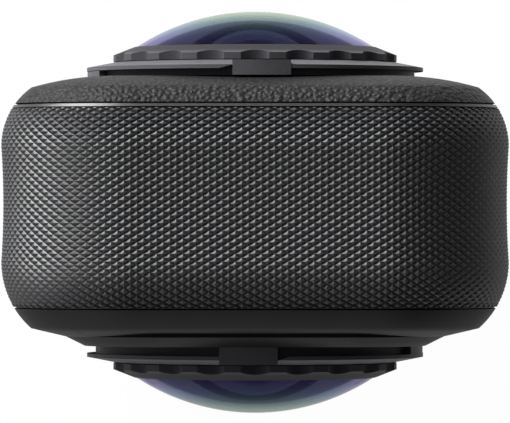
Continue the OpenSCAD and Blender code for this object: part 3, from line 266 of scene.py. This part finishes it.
# Openings in the frame: place along its outline, half length, half width and corner radius
plain_gaps = {
    "battery_opening": (on_side(45.5, -1), 31.15, 6.85, 2.65),
    "power_button": (on_side(66, 1), 4.65, 2.35, 2.34),
    "quick_button": (on_side(54.5, 1), 4.65, 2.35, 2.34),
    "right_microphone": (on_side(89, 1), 0.95, 0.95, 0.94),
    "left_microphone": (on_side(89, -1), 0.95, 0.95, 0.94),
    "base_opening": (0, 10.1, 6.5, 2.6),
}
usb_gap = (on_side(28.5, 1), 8.25, 5.35, 1)
usb_knuckle_gap = (on_side(19.4, 1), 1.5, 3.35, 0.6)
gaps = [*plain_gaps.values(), usb_gap, usb_knuckle_gap]
gap_depth = 0.75
rim_wide = 1.25


def clear_of_gaps(along, depth):
    """Distance from a point on the skin to the nearest opening."""
    far = []
    for gap_along, half_long, half_across, r in gaps:
        off = (along - gap_along + round_run / 2) % round_run - round_run / 2
        far.append(outside(off, depth - gap_depth, half_long, half_across, r))
    return min(far)


def piece(name, shape, finish, slot, body, *nodes):
    """Makes an object of a finished mesh, hangs it on the body it rides on, and hides the CAD nodes it
    stands for.
    """
    mesh = bpy.data.meshes.new(name)
    shape.to_mesh(mesh)
    shape.free()
    mesh.materials.append(finish.material)
    made = bpy.data.objects.new(name, mesh)
    scene.collection.objects.link(made)
    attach(made, body)
    if nodes:
        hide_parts(*nodes)
    return made


def smooth(shape, crease=30):
    """Shades a mesh smooth, apart from edges that turn more than the crease angle."""
    for face in shape.faces:
        face.smooth = True
    for edge in shape.edges:
        edge.smooth = len(edge.link_faces) == 2 and edge.calc_face_angle() < math.radians(crease)


def fair(node):
    """A merged copy of a CAD solid, with its flats joined up and its curves smooth."""
    cad_weld, flat = 0.001, math.radians(0.2)
    shape = bmesh.new()
    shape.from_mesh(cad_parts[node].data)
    bmesh.ops.remove_doubles(shape, verts=shape.verts, dist=cad_weld * mm)
    bmesh.ops.dissolve_limit(shape, angle_limit=flat, verts=shape.verts, edges=shape.edges)
    smooth(shape)
    return shape


# The knurl is drawn flat, with its height upwards, and then laid on the skin.
skin_steps = 400
depths = [band_rear + (land_front - band_rear) * k / skin_steps for k in range(skin_steps + 1)]
arcs = [0]
for near, far in zip(depths, depths[1:]):
    arcs.append(arcs[-1] + math.hypot(far - near, inset(far) - inset(near)))
knurl_run = float(numpy.interp(band_front, depths, arcs))


def depth_at(run):
    """The depth of a place so far along the skin from the band's rear edge."""
    return float(numpy.interp(run, arcs, depths))


def room(diamond):
    """How far the middle of a diamond of the flat knurl lies from the nearest opening."""
    middle = diamond.calc_center_median()
    return clear_of_gaps(middle.x, depth_at(middle.y))


buried_room = rim_wide / 2
raised_room = rim_wide + 0.1
knurl = bmesh.new()
tip_share = knurl.verts.layers.float.new("tip")
bmesh.ops.create_grid(knurl, x_segments=knurls_round, y_segments=knurls_across, size=0.5)
bmesh.ops.scale(knurl, vec=(round_run, knurl_run, 1), verts=knurl.verts)
bmesh.ops.translate(knurl, vec=(round_run / 2, knurl_run / 2, -knurl_deep), verts=knurl.verts)
squares = [edge for edge in knurl.edges if len(edge.link_faces) == 2]
bmesh.ops.poke(knurl, faces=knurl.faces)
bmesh.ops.dissolve_edges(knurl, edges=squares)
buried = [diamond for diamond in knurl.faces if room(diamond) < buried_room]
bmesh.ops.delete(knurl, geom=buried, context="FACES")
diamonds = knurl.faces[:]
bmesh.ops.inset_individual(knurl, faces=diamonds, thickness=knurl_bevel, use_even_offset=True)
for diamond in diamonds:
    if room(diamond) > raised_room:
        for tip in diamond.verts:
            tip.co.z = 0
            tip[tip_share] = 1

# The plain land in front of the knurl rises to the tips, runs level and turns down into the seam.
land_steps = ((0, 0, knurl_deep), (0, arcs[-1] - knurl_run, 0), (0, 0, -land_deep))
border = [e for e in knurl.edges if e.is_boundary and min(v.co.y for v in e.verts) > knurl_run - hair]
for step in land_steps:
    grown = bmesh.ops.extrude_edge_only(knurl, edges=border)["geom"]
    land = [part for part in grown if isinstance(part, bmesh.types.BMVert)]
    new_edges = [part for part in grown if isinstance(part, bmesh.types.BMEdge)]
    border = [edge for edge in new_edges if all(v in land for v in edge.verts)]
    bmesh.ops.translate(knurl, vec=step, verts=land)
for point in knurl.verts:
    point.co = skin(point.co.x, depth_at(point.co.y), point.co.z)
bmesh.ops.remove_doubles(knurl, verts=knurl.verts, dist=weld * mm)
bmesh.ops.recalc_face_normals(knurl, faces=knurl.faces)
smooth(knurl, crease=25)

rub_size, grit_size, grit_deep = 4, 0.12, 0.012
wear_least, wear_swing = 0.6, 0.5
rough_least, rough_tip, rough_grit = 0.28, 0.18, 0.2
# The valleys' near-black tone is painted shade in the knurl's recesses; the crests carry the nylon's own
# paler tone, varied by wear in soft patches.
valley_painted_shade = tint(9, 9, 10)
crest = tint(43, 44, 48)
knurl_black = Finish("knurled_nylon", {"Specular IOR Level": 0.45})
tips = knurl_black.node("Attribute", {"attribute_name": "tip"}, {}, "Fac")
grit = knurl_black.noise(grit_size, detail=3)
wear = knurl_black.noise(rub_size) * wear_swing + wear_least
knurl_black.feed("Base Color", knurl_black.blend(tips * wear, valley_painted_shade, crest))
knurl_black.feed("Roughness", grit * rough_grit + tips * rough_tip + rough_least)
knurl_black.relief(grit, grit_deep)
piece("knurled_skin", knurl, knurl_black, "grip", "camera_body")

# The frame's ring under the knurl is sunk by the knurl's depth, so that the tips keep the outline.
knurl_play = 0.02
band_margin, skin_margin = 0.05, 0.06
sunk = knurl_deep + knurl_play
centre_z = (foot + top) / 2
ring = fair("grip_frame")
for point in ring.verts:
    x, depth, z = point.co.x / mm, -point.co.y / mm, point.co.z / mm - centre_z
    within = -outside(x, z, half_wide, top - centre_z, corner)
    under_band = band_rear - band_margin < depth < band_front + band_margin
    if under_band and abs(within - inset(depth)) < skin_margin:
        over_x = max(abs(x) - flat_end, 0) * math.copysign(1, x)
        over_z = max(abs(z) - centre_z + foot + corner, 0) * math.copysign(1, z)
        away = Vector((over_x, 0, over_z)).normalized()
        point.co -= away * sunk * mm
smooth(ring)
frame_black = moulded("frame_nylon", tint(30, 30, 32), tint(42, 43, 45), rough=0.42, grain=0.15, deep=0.01)
piece("frame_ring", ring, frame_black, "grip", "camera_body", "grip_frame")


def rim(name, points, r):
    """A smooth moulded rim round an opening, drawn flat and then laid on the frame's skin."""
    low, high, round_over = -0.5, -0.01, 0.12
    long_edge, sharp_turn = 1.2, 1
    shape = bmesh.new()
    shape.faces.new([shape.verts.new((along, depth, low)) for along, depth in points])
    bmesh.ops.bevel(
        shape,
        geom=shape.verts[:],
        offset=r,
        affect="VERTICES",
        segments=8,
        profile=0.5,
        material=-1,
    )
    long_edges = [edge for edge in shape.edges if edge.calc_length() > long_edge]
    bmesh.ops.subdivide_edges(shape, edges=long_edges, cuts=7)
    inner = shape.faces[:]
    bmesh.ops.inset_region(shape, faces=inner, thickness=rim_wide, use_boundary=True, use_even_offset=True)
    bmesh.ops.delete(shape, geom=inner, context="FACES")
    raised = bmesh.ops.extrude_face_region(shape, geom=shape.faces[:])["geom"]
    upper = [part for part in raised if isinstance(part, bmesh.types.BMVert)]
    bmesh.ops.translate(shape, vec=(0, 0, high - low), verts=upper)
    upper_edges = [edge for edge in shape.edges if all(v in upper for v in edge.verts)]
    bmesh.ops.bevel(
        shape,
        geom=[edge for edge in upper_edges if edge.calc_face_angle(0) > sharp_turn],
        offset=round_over,
        affect="EDGES",
        segments=3,
        profile=0.5,
        material=-1,
    )
    for point in shape.verts:
        point.co = skin(*point.co)
    bmesh.ops.recalc_face_normals(shape, faces=shape.faces)
    smooth(shape, crease=40)
    piece(name, shape, rim_black, "grip", "camera_body")


rim_black = moulded("rim_nylon", tint(30, 31, 33), tint(40, 41, 43), rough=0.38, grain=0.1, deep=0.006)
square = [(-1, -1), (1, -1), (1, 1), (-1, 1)]
for name, (along, half_long, half_across, r) in plain_gaps.items():
    long, across = half_long + rim_wide, half_across + rim_wide
    rim(name + "_rim", [(along + long * a, gap_depth + across * d) for a, d in square], r + rim_wide)

# The USB opening is a tee, with a narrow foot for the door's knuckle.
along, half_long, half_across, _ = usb_gap
knuckle_along, knuckle_long, knuckle_across, _ = usb_knuckle_gap
tee_top = along + half_long + rim_wide
tee_step = along - half_long - rim_wide
tee_foot = knuckle_along - knuckle_long - rim_wide
tee_wide = half_across + rim_wide
tee_narrow = knuckle_across + rim_wide
tee_round = 0.9
half_tee = [(tee_top, tee_wide), (tee_step, tee_wide), (tee_step, tee_narrow), (tee_foot, tee_narrow)]
tee = [(a, gap_depth + d) for a, d in half_tee] + [(a, gap_depth - d) for a, d in reversed(half_tee)]
rim("usb_opening_rim", tee, tee_round)

# The base plate, its tripod insert and the gaskets
# A hard moulded foot with a steel tripod thread and two notches for a quick-release mount,
# let into the frame from inside. Rubber gaskets lie in both seams of the frame and under the lens guards.
def coat(finish, *nodes):
    """Gives a finish to CAD solids that stay as they are."""
    for node in nodes:
        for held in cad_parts[node].material_slots:
            held.material = finish.material


def metal(name, dark, pale, rough, brush):
    """A bare metal: two close tones in fine brush marks."""
    mark_stretch, mark_deep, rough_swing = 8, 0.004, 0.2
    finish = Finish(name, {"Metallic": 1.0})
    marks = finish.node("Mapping", {}, {"Vector": finish.spot(), "Scale": (1, mark_stretch, 1)})
    scratch = finish.node("TexNoise", {}, {"Vector": marks, "Scale": 1 / (brush * mm), "Detail": 3})
    finish.feed("Base Color", finish.blend(scratch, dark, pale))
    finish.feed("Roughness", scratch * rough_swing + (rough - rough_swing / 2))
    finish.relief(scratch, mark_deep)
    return finish


base_black = moulded("base_nylon", tint(34, 35, 37), tint(46, 47, 49), rough=0.4, grain=0.12, deep=0.01)
piece("foot_plate", fair("base_plate"), base_black, "base", "camera_body", "base_plate")
bush_steel = metal("insert_steel", tint(142, 144, 148), tint(182, 184, 188), rough=0.35, brush=0.6)
piece("tripod_bush", fair("tripod_insert"), bush_steel, "steel", "camera_body", "tripod_insert")
rubber = moulded("seal_rubber", tint(9, 9, 10), tint(17, 17, 18), rough=0.8, grain=0.2, deep=0.01, gloss=0.2)
coat(rubber, "front_gasket", "rear_gasket", "front_lens_seal", "rear_lens_seal")

# The front cover
# A crowned moulding with a deep leather-like grain, whose creases are darkened with painted shade.
# It carries the front lens mount, and its tongue is pressed into the frame's gasket.
crease_size, crease_soft, crease_weight = 0.42, 0.5, 1.3
fine_size, fine_weight, grain_deep = 0.16, 0.35, 0.15
crease_rough, hill_polish = 0.62, 0.16
cover_grained = Finish("grained_front", {"Specular IOR Level": 0.17})
creases = cover_grained.node(
    "TexVoronoi",
    {"feature": "SMOOTH_F1"},
    {
        "Vector": cover_grained.spot(),
        "Scale": 1 / (crease_size * mm),
        "Smoothness": crease_soft,
        "Randomness": 1.0,
    },
    "Distance",
)
fine = cover_grained.noise(fine_size, detail=3)
hills = 1 - creases * crease_weight + fine * fine_weight
# The creases' near-black tone is painted shade; the hills keep the moulding's own tone, varied by the fine
# grain.
cover_grained.feed("Base Color", cover_grained.blend(hills, tint(8, 8, 9), tint(23, 23, 25)))
cover_grained.feed("Roughness", crease_rough - hills * hill_polish)
cover_grained.relief(hills, grain_deep)
piece("grained_front_cover", fair("front_cover"), cover_grained, "front_shell", "camera_body", "front_cover")

# The rear cover
# A plain satin moulding, very dark, with only the fine grain of its mould.
# The rear panel is let into its face.
cover_satin = moulded(
    "satin_rear", tint(17, 17, 19), tint(26, 26, 28), rough=0.5, grain=0.1, deep=0.005, gloss=0.12
)
piece("satin_rear_cover", fair("rear_cover"), cover_satin, "rear_shell", "camera_body", "rear_cover")

# The rear panel and the screen
# A bevelled satin panel holds a flat touch screen under black cover glass with faint smears.
# The display behind it is dark while the camera is off.
panel_satin = moulded(
    "panel_satin", tint(18, 18, 20), tint(26, 26, 28), rough=0.5, grain=0.1, deep=0.004, gloss=0.08
)
piece("bevelled_panel", fair("rear_panel"), panel_satin, "panel", "camera_body", "rear_panel")
smear_size, smear_rough, clean_rough = 9, 0.1, 0.03
glass_black = Finish("cover_glass", {"Specular IOR Level": 0.5, "Coat Weight": 1.0, "Coat Roughness": 0.03})
smears = glass_black.noise(smear_size, detail=3)
glass_black.feed("Base Color", glass_black.blend(smears, tint(9, 9, 11), tint(17, 18, 22)))
glass_black.feed("Roughness", smears * smear_rough + clean_rough)
piece("touch_glass", fair("screen_glass"), glass_black, "screen_glass", "camera_body", "screen_glass")
coat(glass_black, "display")

# The lens mounts
# Round glass-filled mouldings with an overhanging lip, solid blocks under parts of it and a bayonet
# groove inside. Screws through posts of the chassis hold them down on the covers.
ends = ("front", "rear")
lens_z = 92
mount_satin = moulded(
    "mount_satin", tint(60, 60, 63), tint(84, 85, 88), rough=0.5, grain=0.12, deep=0.03, gloss=0.06
)


def turn_to(end, shape):
    """Leaves a front lens piece where it is, or turns it round to the rear."""
    if end == "rear":
        half_turn = Matrix.Rotation(math.pi, 3, "Z")
        bmesh.ops.rotate(shape, cent=(0, 0, 0), matrix=half_turn, verts=shape.verts)
    return shape


def lead_in():
    """The end of the lip, whose underside rises to the block beside it."""
    start, sweep, steps = math.radians(12), math.radians(-4.5), 6
    inner, outer = 14.66, 15.5
    low, outer_high, inner_high, thin_end = 12.96, 13.3, 13.45, 0.02
    shape = bmesh.new()
    section = [(inner, low), (outer, low), (outer, outer_high), (inner, inner_high)]
    loop = [shape.verts.new((0, -h * mm, (lens_z + r) * mm)) for r, h in section]
    edges = [shape.edges.new((loop[k - 1], loop[k])) for k in range(4)]
    centre = (0, 0, lens_z * mm)
    bmesh.ops.rotate(shape, cent=centre, matrix=Matrix.Rotation(start, 3, "Y"), verts=loop)
    bmesh.ops.spin(shape, geom=loop + edges, cent=centre, axis=(0, 1, 0), angle=sweep, steps=steps)
    bmesh.ops.holes_fill(shape, edges=shape.edges)
    for point in shape.verts:
        across, up = point.co.x, point.co.z - lens_z * mm
        if abs(point.co.y + low * mm) < hair * mm:
            share = (start - math.atan2(across, up)) / -sweep
            high = outer_high if math.hypot(across, up) > (inner + outer) / 2 * mm else inner_high
            point.co.y -= share * (high - low - thin_end) * mm
    bmesh.ops.recalc_face_normals(shape, faces=shape.faces)
    smooth(shape)
    return shape


for end in ends:
    node = end + "_lens_mount"
    piece(end + "_mount", fair(node), mount_satin, "lens_mount", "camera_body", node)
    piece(end + "_lip_lead_in", turn_to(end, lead_in()), mount_satin, "lens_mount", "camera_body")

# The optics
# Black barrels hold a deep clear fisheye element and a small inner lens over each image sensor.
# The inner lens is coated, and looks navy blue.
barrel_black = moulded("barrel_black", tint(14, 14, 16), tint(24, 24, 27), rough=0.5, grain=0.1, deep=0.006)
coat(barrel_black, "front_lens_barrel", "rear_lens_barrel")
element_bloom_size, element_rough = 3, 0.02
element = Finish("coated_element", {"Transmission Weight": 1.0, "IOR": 1.06})
bloom = element.noise(element_bloom_size)
element.feed("Base Color", element.blend(bloom, tint(214, 216, 230), tint(222, 224, 236)))
element.feed("Roughness", bloom * element_rough)
inner_bloom_size, inner_rough, inner_rough_swing = 2, 0.05, 0.08
inner_sockets = {"Coat Weight": 1.0, "Coat Roughness": 0.02, "Specular IOR Level": 0.6}
inner_element = Finish("inner_element", inner_sockets)
bloom = inner_element.noise(inner_bloom_size)
inner_element.feed("Base Color", inner_element.blend(bloom, tint(12, 13, 28), tint(26, 28, 50)))
inner_element.feed("Roughness", bloom * inner_rough_swing + inner_rough)
coat(inner_element, "front_inner_lens", "rear_inner_lens")


def lathe(points, steps):
    """Turns a profile of (radius, height) points round the front lens axis into a closed shell."""
    shape = bmesh.new()
    line = [shape.verts.new((r * mm, -h * mm, lens_z * mm)) for r, h in points]
    edges = [shape.edges.new(pair) for pair in zip(line, line[1:])]
    bmesh.ops.spin(
        shape,
        geom=line + edges,
        cent=(0, 0, lens_z * mm),
        axis=(0, 1, 0),
        angle=2 * math.pi,
        steps=steps,
        use_merge=True,
    )
    bmesh.ops.remove_doubles(shape, verts=shape.verts, dist=weld * mm)
    bmesh.ops.recalc_face_normals(shape, faces=shape.faces)
    smooth(shape)
    return shape


def arc(curve, tip, far, count):
    """Points on a round surface from its tip out to a radius."""
    angles = [math.asin(far / curve) * k / count for k in range(count + 1)]
    return [(curve * math.sin(a), tip - curve + curve * math.cos(a)) for a in angles]


fisheye_tip, fisheye_curve, fisheye_far = 17.45, 9.9, 8.6
fisheye_seat, hollow_curve, fisheye_thick = 12.2, 6.6, 1.1
hollow_tip = fisheye_tip - fisheye_thick
hollow_far = math.sqrt(hollow_curve**2 - (hollow_curve - hollow_tip + fisheye_seat) ** 2)
fisheye_outer = arc(fisheye_curve, fisheye_tip, fisheye_far, count=24)
fisheye_inner = arc(hollow_curve, hollow_tip, hollow_far, count=16)
fisheye = fisheye_outer + [(fisheye_far, fisheye_seat)] + fisheye_inner[::-1]
for end in ends:
    shape = turn_to(end, lathe(fisheye, steps=96))
    piece(end + "_fisheye_element", shape, element, "lens_glass", "camera_body", end + "_fisheye_lens")

# The twist rings and their domes
# Each guard is a dome of smoked glass in a scalloped satin ring, which a bayonet holds on the mount.
# The dome's coating looks violet near the ring, then blue, and green at the tip.
def from_axis(finish):
    """The square of the distance from the lens axis."""
    across = finish.place("X")
    up = finish.place("Z") - lens_z * mm
    return across * across + up * up


wall_radius, cone_radius, cone_share = 13.1, 12.3, 0.8
ring_rough, ring_rough_swing = 0.44, 0.16
ring_grit_size, ring_grit_deep = 0.12, 0.006
ring_satin = Finish("ring_satin", {"Specular IOR Level": 0.05})
grit = ring_satin.noise(ring_grit_size, detail=3)
cone = ring_satin.span(from_axis(ring_satin) ** 0.5, wall_radius * mm, cone_radius * mm)
cone = cone * cone_share + grit * (1 - cone_share)
ring_satin.feed("Base Color", ring_satin.blend(cone, tint(66, 66, 69), tint(33, 33, 36)))
ring_satin.feed("Roughness", grit * ring_rough_swing + ring_rough)
ring_satin.relief(grit, ring_grit_deep)

dome_tip, dome_curve, dome_far, dome_thick = 18.5, 20, 11.5, 0.8
coating_foot = 14.8
graze_power, graze_gain, graze_least, graze_most = 10, 4.2, 0.03, 0.62
dome_smear_size, dome_rough, coating_rough = 5, 0.02, 0.03
dome_clear = Finish("dome_glass", {"Transmission Weight": 1.0, "IOR": 1.02})
smears = dome_clear.noise(dome_smear_size)
dome_clear.feed("Base Color", dome_clear.blend(smears, tint(114, 119, 134), tint(120, 125, 140)))
dome_clear.feed("Roughness", smears * dome_rough)
level = dome_clear.node("Math", {"operation": "ABSOLUTE"}, {0: dome_clear.place("Y")})
behind = level + (dome_curve - dome_tip) * mm
reach = (from_axis(dome_clear) + behind * behind) ** 0.5
inner_side, outer_side = dome_curve - dome_thick * 0.6, dome_curve - dome_thick * 0.4
outer_face = dome_clear.span(reach, inner_side * mm, outer_side * mm)
facing = dome_clear.node("LayerWeight", {}, {"Blend": 0.5}, "Facing")
graze = dome_clear.capped(facing**graze_power * graze_gain + graze_least, graze_most)
coating = dome_clear.ramp(
    dome_clear.span(level, coating_foot * mm, dome_tip * mm),
    (0.0, tint(140, 96, 220)),
    (0.15, tint(144, 104, 230)),
    (0.3, tint(136, 138, 240)),
    (0.5, tint(136, 176, 238)),
    (0.7, tint(150, 204, 204)),
    (0.82, tint(176, 230, 192)),
    (1.0, tint(196, 240, 196)),
)
coating_sockets = {"Base Color": coating, "Metallic": 1.0, "Roughness": coating_rough}
dome_clear.cover(graze * outer_face, dome_clear.node("BsdfPrincipled", {}, coating_sockets))
dome_outer = arc(dome_curve, dome_tip, dome_far, count=40)
dome_inner = arc(dome_curve - dome_thick, dome_tip - dome_thick, dome_far, count=40)
for end in ends:
    body = end + "_lens"
    node = end + "_lens_ring"
    piece(end + "_scalloped_ring", fair(node), ring_satin, "lens_ring", body, node)
    shape = turn_to(end, lathe(dome_outer + dome_inner[::-1], steps=128))
    piece(end + "_clear_dome", shape, dome_clear, "dome_glass", body, end + "_dome")

# The battery, its door and latches
# The pack slides in from the left side behind a flush door with a rubber seal.
# Two ribbed sliders at the door's ends latch into the frame. The memory card lies behind the same door.
door_satin = moulded("door_satin", tint(34, 35, 37), tint(46, 47, 49), rough=0.4, grain=0.12, deep=0.01)
piece("flush_battery_door", fair("battery_door"), door_satin, "door", "battery", "battery_door")
latch_grey = moulded("latch_grey", tint(66, 67, 70), tint(84, 85, 88), rough=0.4, grain=0.1, deep=0.008)
for place in ("upper", "lower"):
    latch = place + "_latch"
    piece(place + "_slider", fair(latch), latch_grey, "latch", latch, latch)
pack_wrap = moulded("pack_wrap", tint(44, 46, 50), tint(58, 60, 65), rough=0.45, grain=0.3, deep=0.006)
coat(pack_wrap, "battery_pack")
coat(rubber, "battery_seal")
bay_black = moulded("bay_nylon", tint(38, 39, 42), tint(50, 51, 54), rough=0.5, grain=0.15, deep=0.01)
coat(bay_black, "battery_bay")
card_black = moulded("card_black", tint(20, 20, 22), tint(32, 32, 35), rough=0.45, grain=0.1, deep=0.005)
coat(card_black, "memory_card")

# The USB door
# A flap in the battery door's finish, with a rubber seal behind it, covers the socket on the right
# side. It swings down on a steel pin at its lower end.
piece("hinged_usb_door", fair("usb_door"), door_satin, "door", "usb_door", "usb_door")
coat(rubber, "usb_door_seal")
steel = metal("screw_steel", tint(150, 152, 156), tint(190, 192, 196), rough=0.35, brush=0.5)
coat(steel, "usb_door_pin", "chassis_screws", "mount_screws", "board_screws")

# The buttons
# Two pill keys on the right side and two under the screen, moulded a little paler than the frame.
# Each is pressed against a key switch behind it.
key_satin = moulded("key_satin", tint(50, 51, 54), tint(64, 65, 68), rough=0.36, grain=0.1, deep=0.005)
for key in ("power", "quick", "shutter", "switch"):
    button = key + "_button"
    piece(key + "_key", fair(button), key_satin, "button", button, button)

# Sound and lights
# Microphones lie behind steel mesh, and a small speaker behind its holes.
# Two milky light pipes show the status lights.
mesh_steel = metal("mesh_steel", tint(40, 41, 43), tint(96, 97, 100), rough=0.5, brush=0.15)
coat(mesh_steel, "microphone_meshes")
pipe_milky = moulded(
    "pipe_milky", tint(196, 200, 204), tint(226, 229, 232), rough=0.25, grain=0.3, deep=0.002
)
coat(pipe_milky, "light_pipes")
capsule = metal("capsule_plate", tint(150, 146, 130), tint(190, 186, 168), rough=0.4, brush=0.4)
coat(capsule, "microphones")
speaker_black = moulded(
    "speaker_black", tint(22, 22, 24), tint(40, 40, 43), rough=0.55, grain=0.2, deep=0.02
)
coat(speaker_black, "speaker")

# The chassis and the boards inside
# A die-cast chassis carries the lens posts and the main board with its chips and sockets.
# Sensor boards lie behind the lens barrels, and key boards with their switches behind the buttons.
cast = metal("cast_alloy", tint(120, 122, 126), tint(160, 162, 166), rough=0.5, brush=0.3)
coat(cast, "chassis")
plated = metal("plated_steel", tint(170, 172, 176), tint(206, 208, 212), rough=0.3, brush=0.4)
coat(plated, "shield_can", "usb_socket", "card_socket")
gold = metal("contact_gold", tint(176, 142, 70), tint(222, 190, 110), rough=0.3, brush=0.3)
coat(gold, "battery_contacts")
board_green = moulded("board_green", tint(16, 66, 42), tint(26, 92, 60), rough=0.4, grain=0.25, deep=0.01)
coat(board_green, "main_board", "front_sensor_board", "rear_sensor_board")
coat(board_green, "side_key_board", "rear_key_board")
chip_black = moulded("chip_black", tint(24, 24, 26), tint(40, 40, 43), rough=0.5, grain=0.08, deep=0.004)
coat(chip_black, "processor", "side_switches", "rear_switches")
sensor_glass = moulded("sensor_glass", tint(40, 46, 60), tint(66, 60, 84), rough=0.15, grain=0.4, deep=0.001)
coat(sensor_glass, "front_image_sensor", "rear_image_sensor")

# The studio
# A pale floor with a painted shadow of the camera behind it: a grey band in the floor's white that only its
# reflections show.
# A big lamp stands at the front left and a weak one behind, under a sky that is darker overhead.
floor_radius = 8
floor_shape = bmesh.new()
bmesh.ops.create_circle(floor_shape, cap_ends=True, segments=96, radius=floor_radius)
floor_mesh = bpy.data.meshes.new("studio_floor")
floor_shape.to_mesh(floor_mesh)
floor_shape.free()
floor = bpy.data.objects.new("studio_floor", floor_mesh)
scene.collection.objects.link(floor)
fibre_size, seen_share = 20, 0.98
shadow_start, shadow_full, shadow_fading, shadow_end = 0, 45, 80, 170
shadow_grey = (0.48, 0.48, 0.48, 1)
paper = Finish("white_paper", {"Roughness": 0.9, "Specular IOR Level": 0.1})
fibres = paper.noise(fibre_size, detail=3)
paper.feed("Base Color", paper.blend(fibres, tint(234, 234, 234), tint(240, 240, 240)))
looked_at = paper.node("LightPath", {}, {}, "Is Camera Ray")
mirrored = paper.node("LightPath", {}, {}, "Is Glossy Ray")
through_glass = paper.node("LightPath", {}, {}, "Is Transmission Ray")
seen = paper.capped(looked_at + mirrored + through_glass, 1.0)
floor_y = paper.place("Y")
shadow_near = paper.span(floor_y, shadow_start * mm, shadow_full * mm)
shadow_far = paper.span(floor_y, shadow_end * mm, shadow_fading * mm)
# Glossy rays see the white fade to grey just behind the camera: a painted shadow, shown only in reflections.
shade = paper.blend(mirrored * (shadow_near * shadow_far), (1, 1, 1, 1), shadow_grey)
paper.cover(seen * seen_share, paper.node("Emission", {}, {"Color": shade, "Strength": 1.0}))
floor_mesh.materials.append(paper.material)

sky_low, sky_high, sky_fade = (0.7, 0.7, 0.71, 1), (0.34, 0.34, 0.35, 1), 0.75
bright_side, side_start, side_least = (0.75, -0.66, 0), -0.3, 0.2
world = bpy.data.worlds.new("studio_sky")
world.use_nodes = True
scene.world = world
sky = Nodes(world.node_tree)
ray = sky.node("TexCoord", {}, {}, "Generated")
height = sky.node("SeparateXYZ", {}, {"Vector": ray}, "Z")
fade = sky.ramp(height, (0.0, sky_low), (sky_fade, sky_high))
sideways = sky.node("VectorMath", {"operation": "DOT_PRODUCT"}, {0: ray, 1: bright_side}, "Value")
strength = sky.span(sideways, side_start, 1.0) * (1 - side_least) + side_least
sky.tree.links.new(fade.socket, sky.tree.nodes["Background"].inputs["Color"])
sky.tree.links.new(strength.socket, sky.tree.nodes["Background"].inputs["Strength"])


def lamp(name, towards, far, wide, watts):
    """A soft square lamp, so many metres off in a direction, that faces the camera's top end."""
    light = bpy.data.lights.new(name, "AREA")
    light.size = wide
    light.energy = watts
    holder = bpy.data.objects.new(name, light)
    aim = Vector((0, 0, 0.09))
    away = Vector(towards).normalized()
    holder.location = aim + away * far
    holder.rotation_euler = away.to_track_quat("Z", "Y").to_euler()
    holder.visible_transmission = False
    scene.collection.objects.link(holder)


lamp("key_lamp", towards=(0.6, -0.82, 0.2), far=0.9, wide=0.65, watts=31)
lamp("rear_lamp", towards=(0.3, 0.9, 0.2), far=0.9, wide=0.8, watts=4)
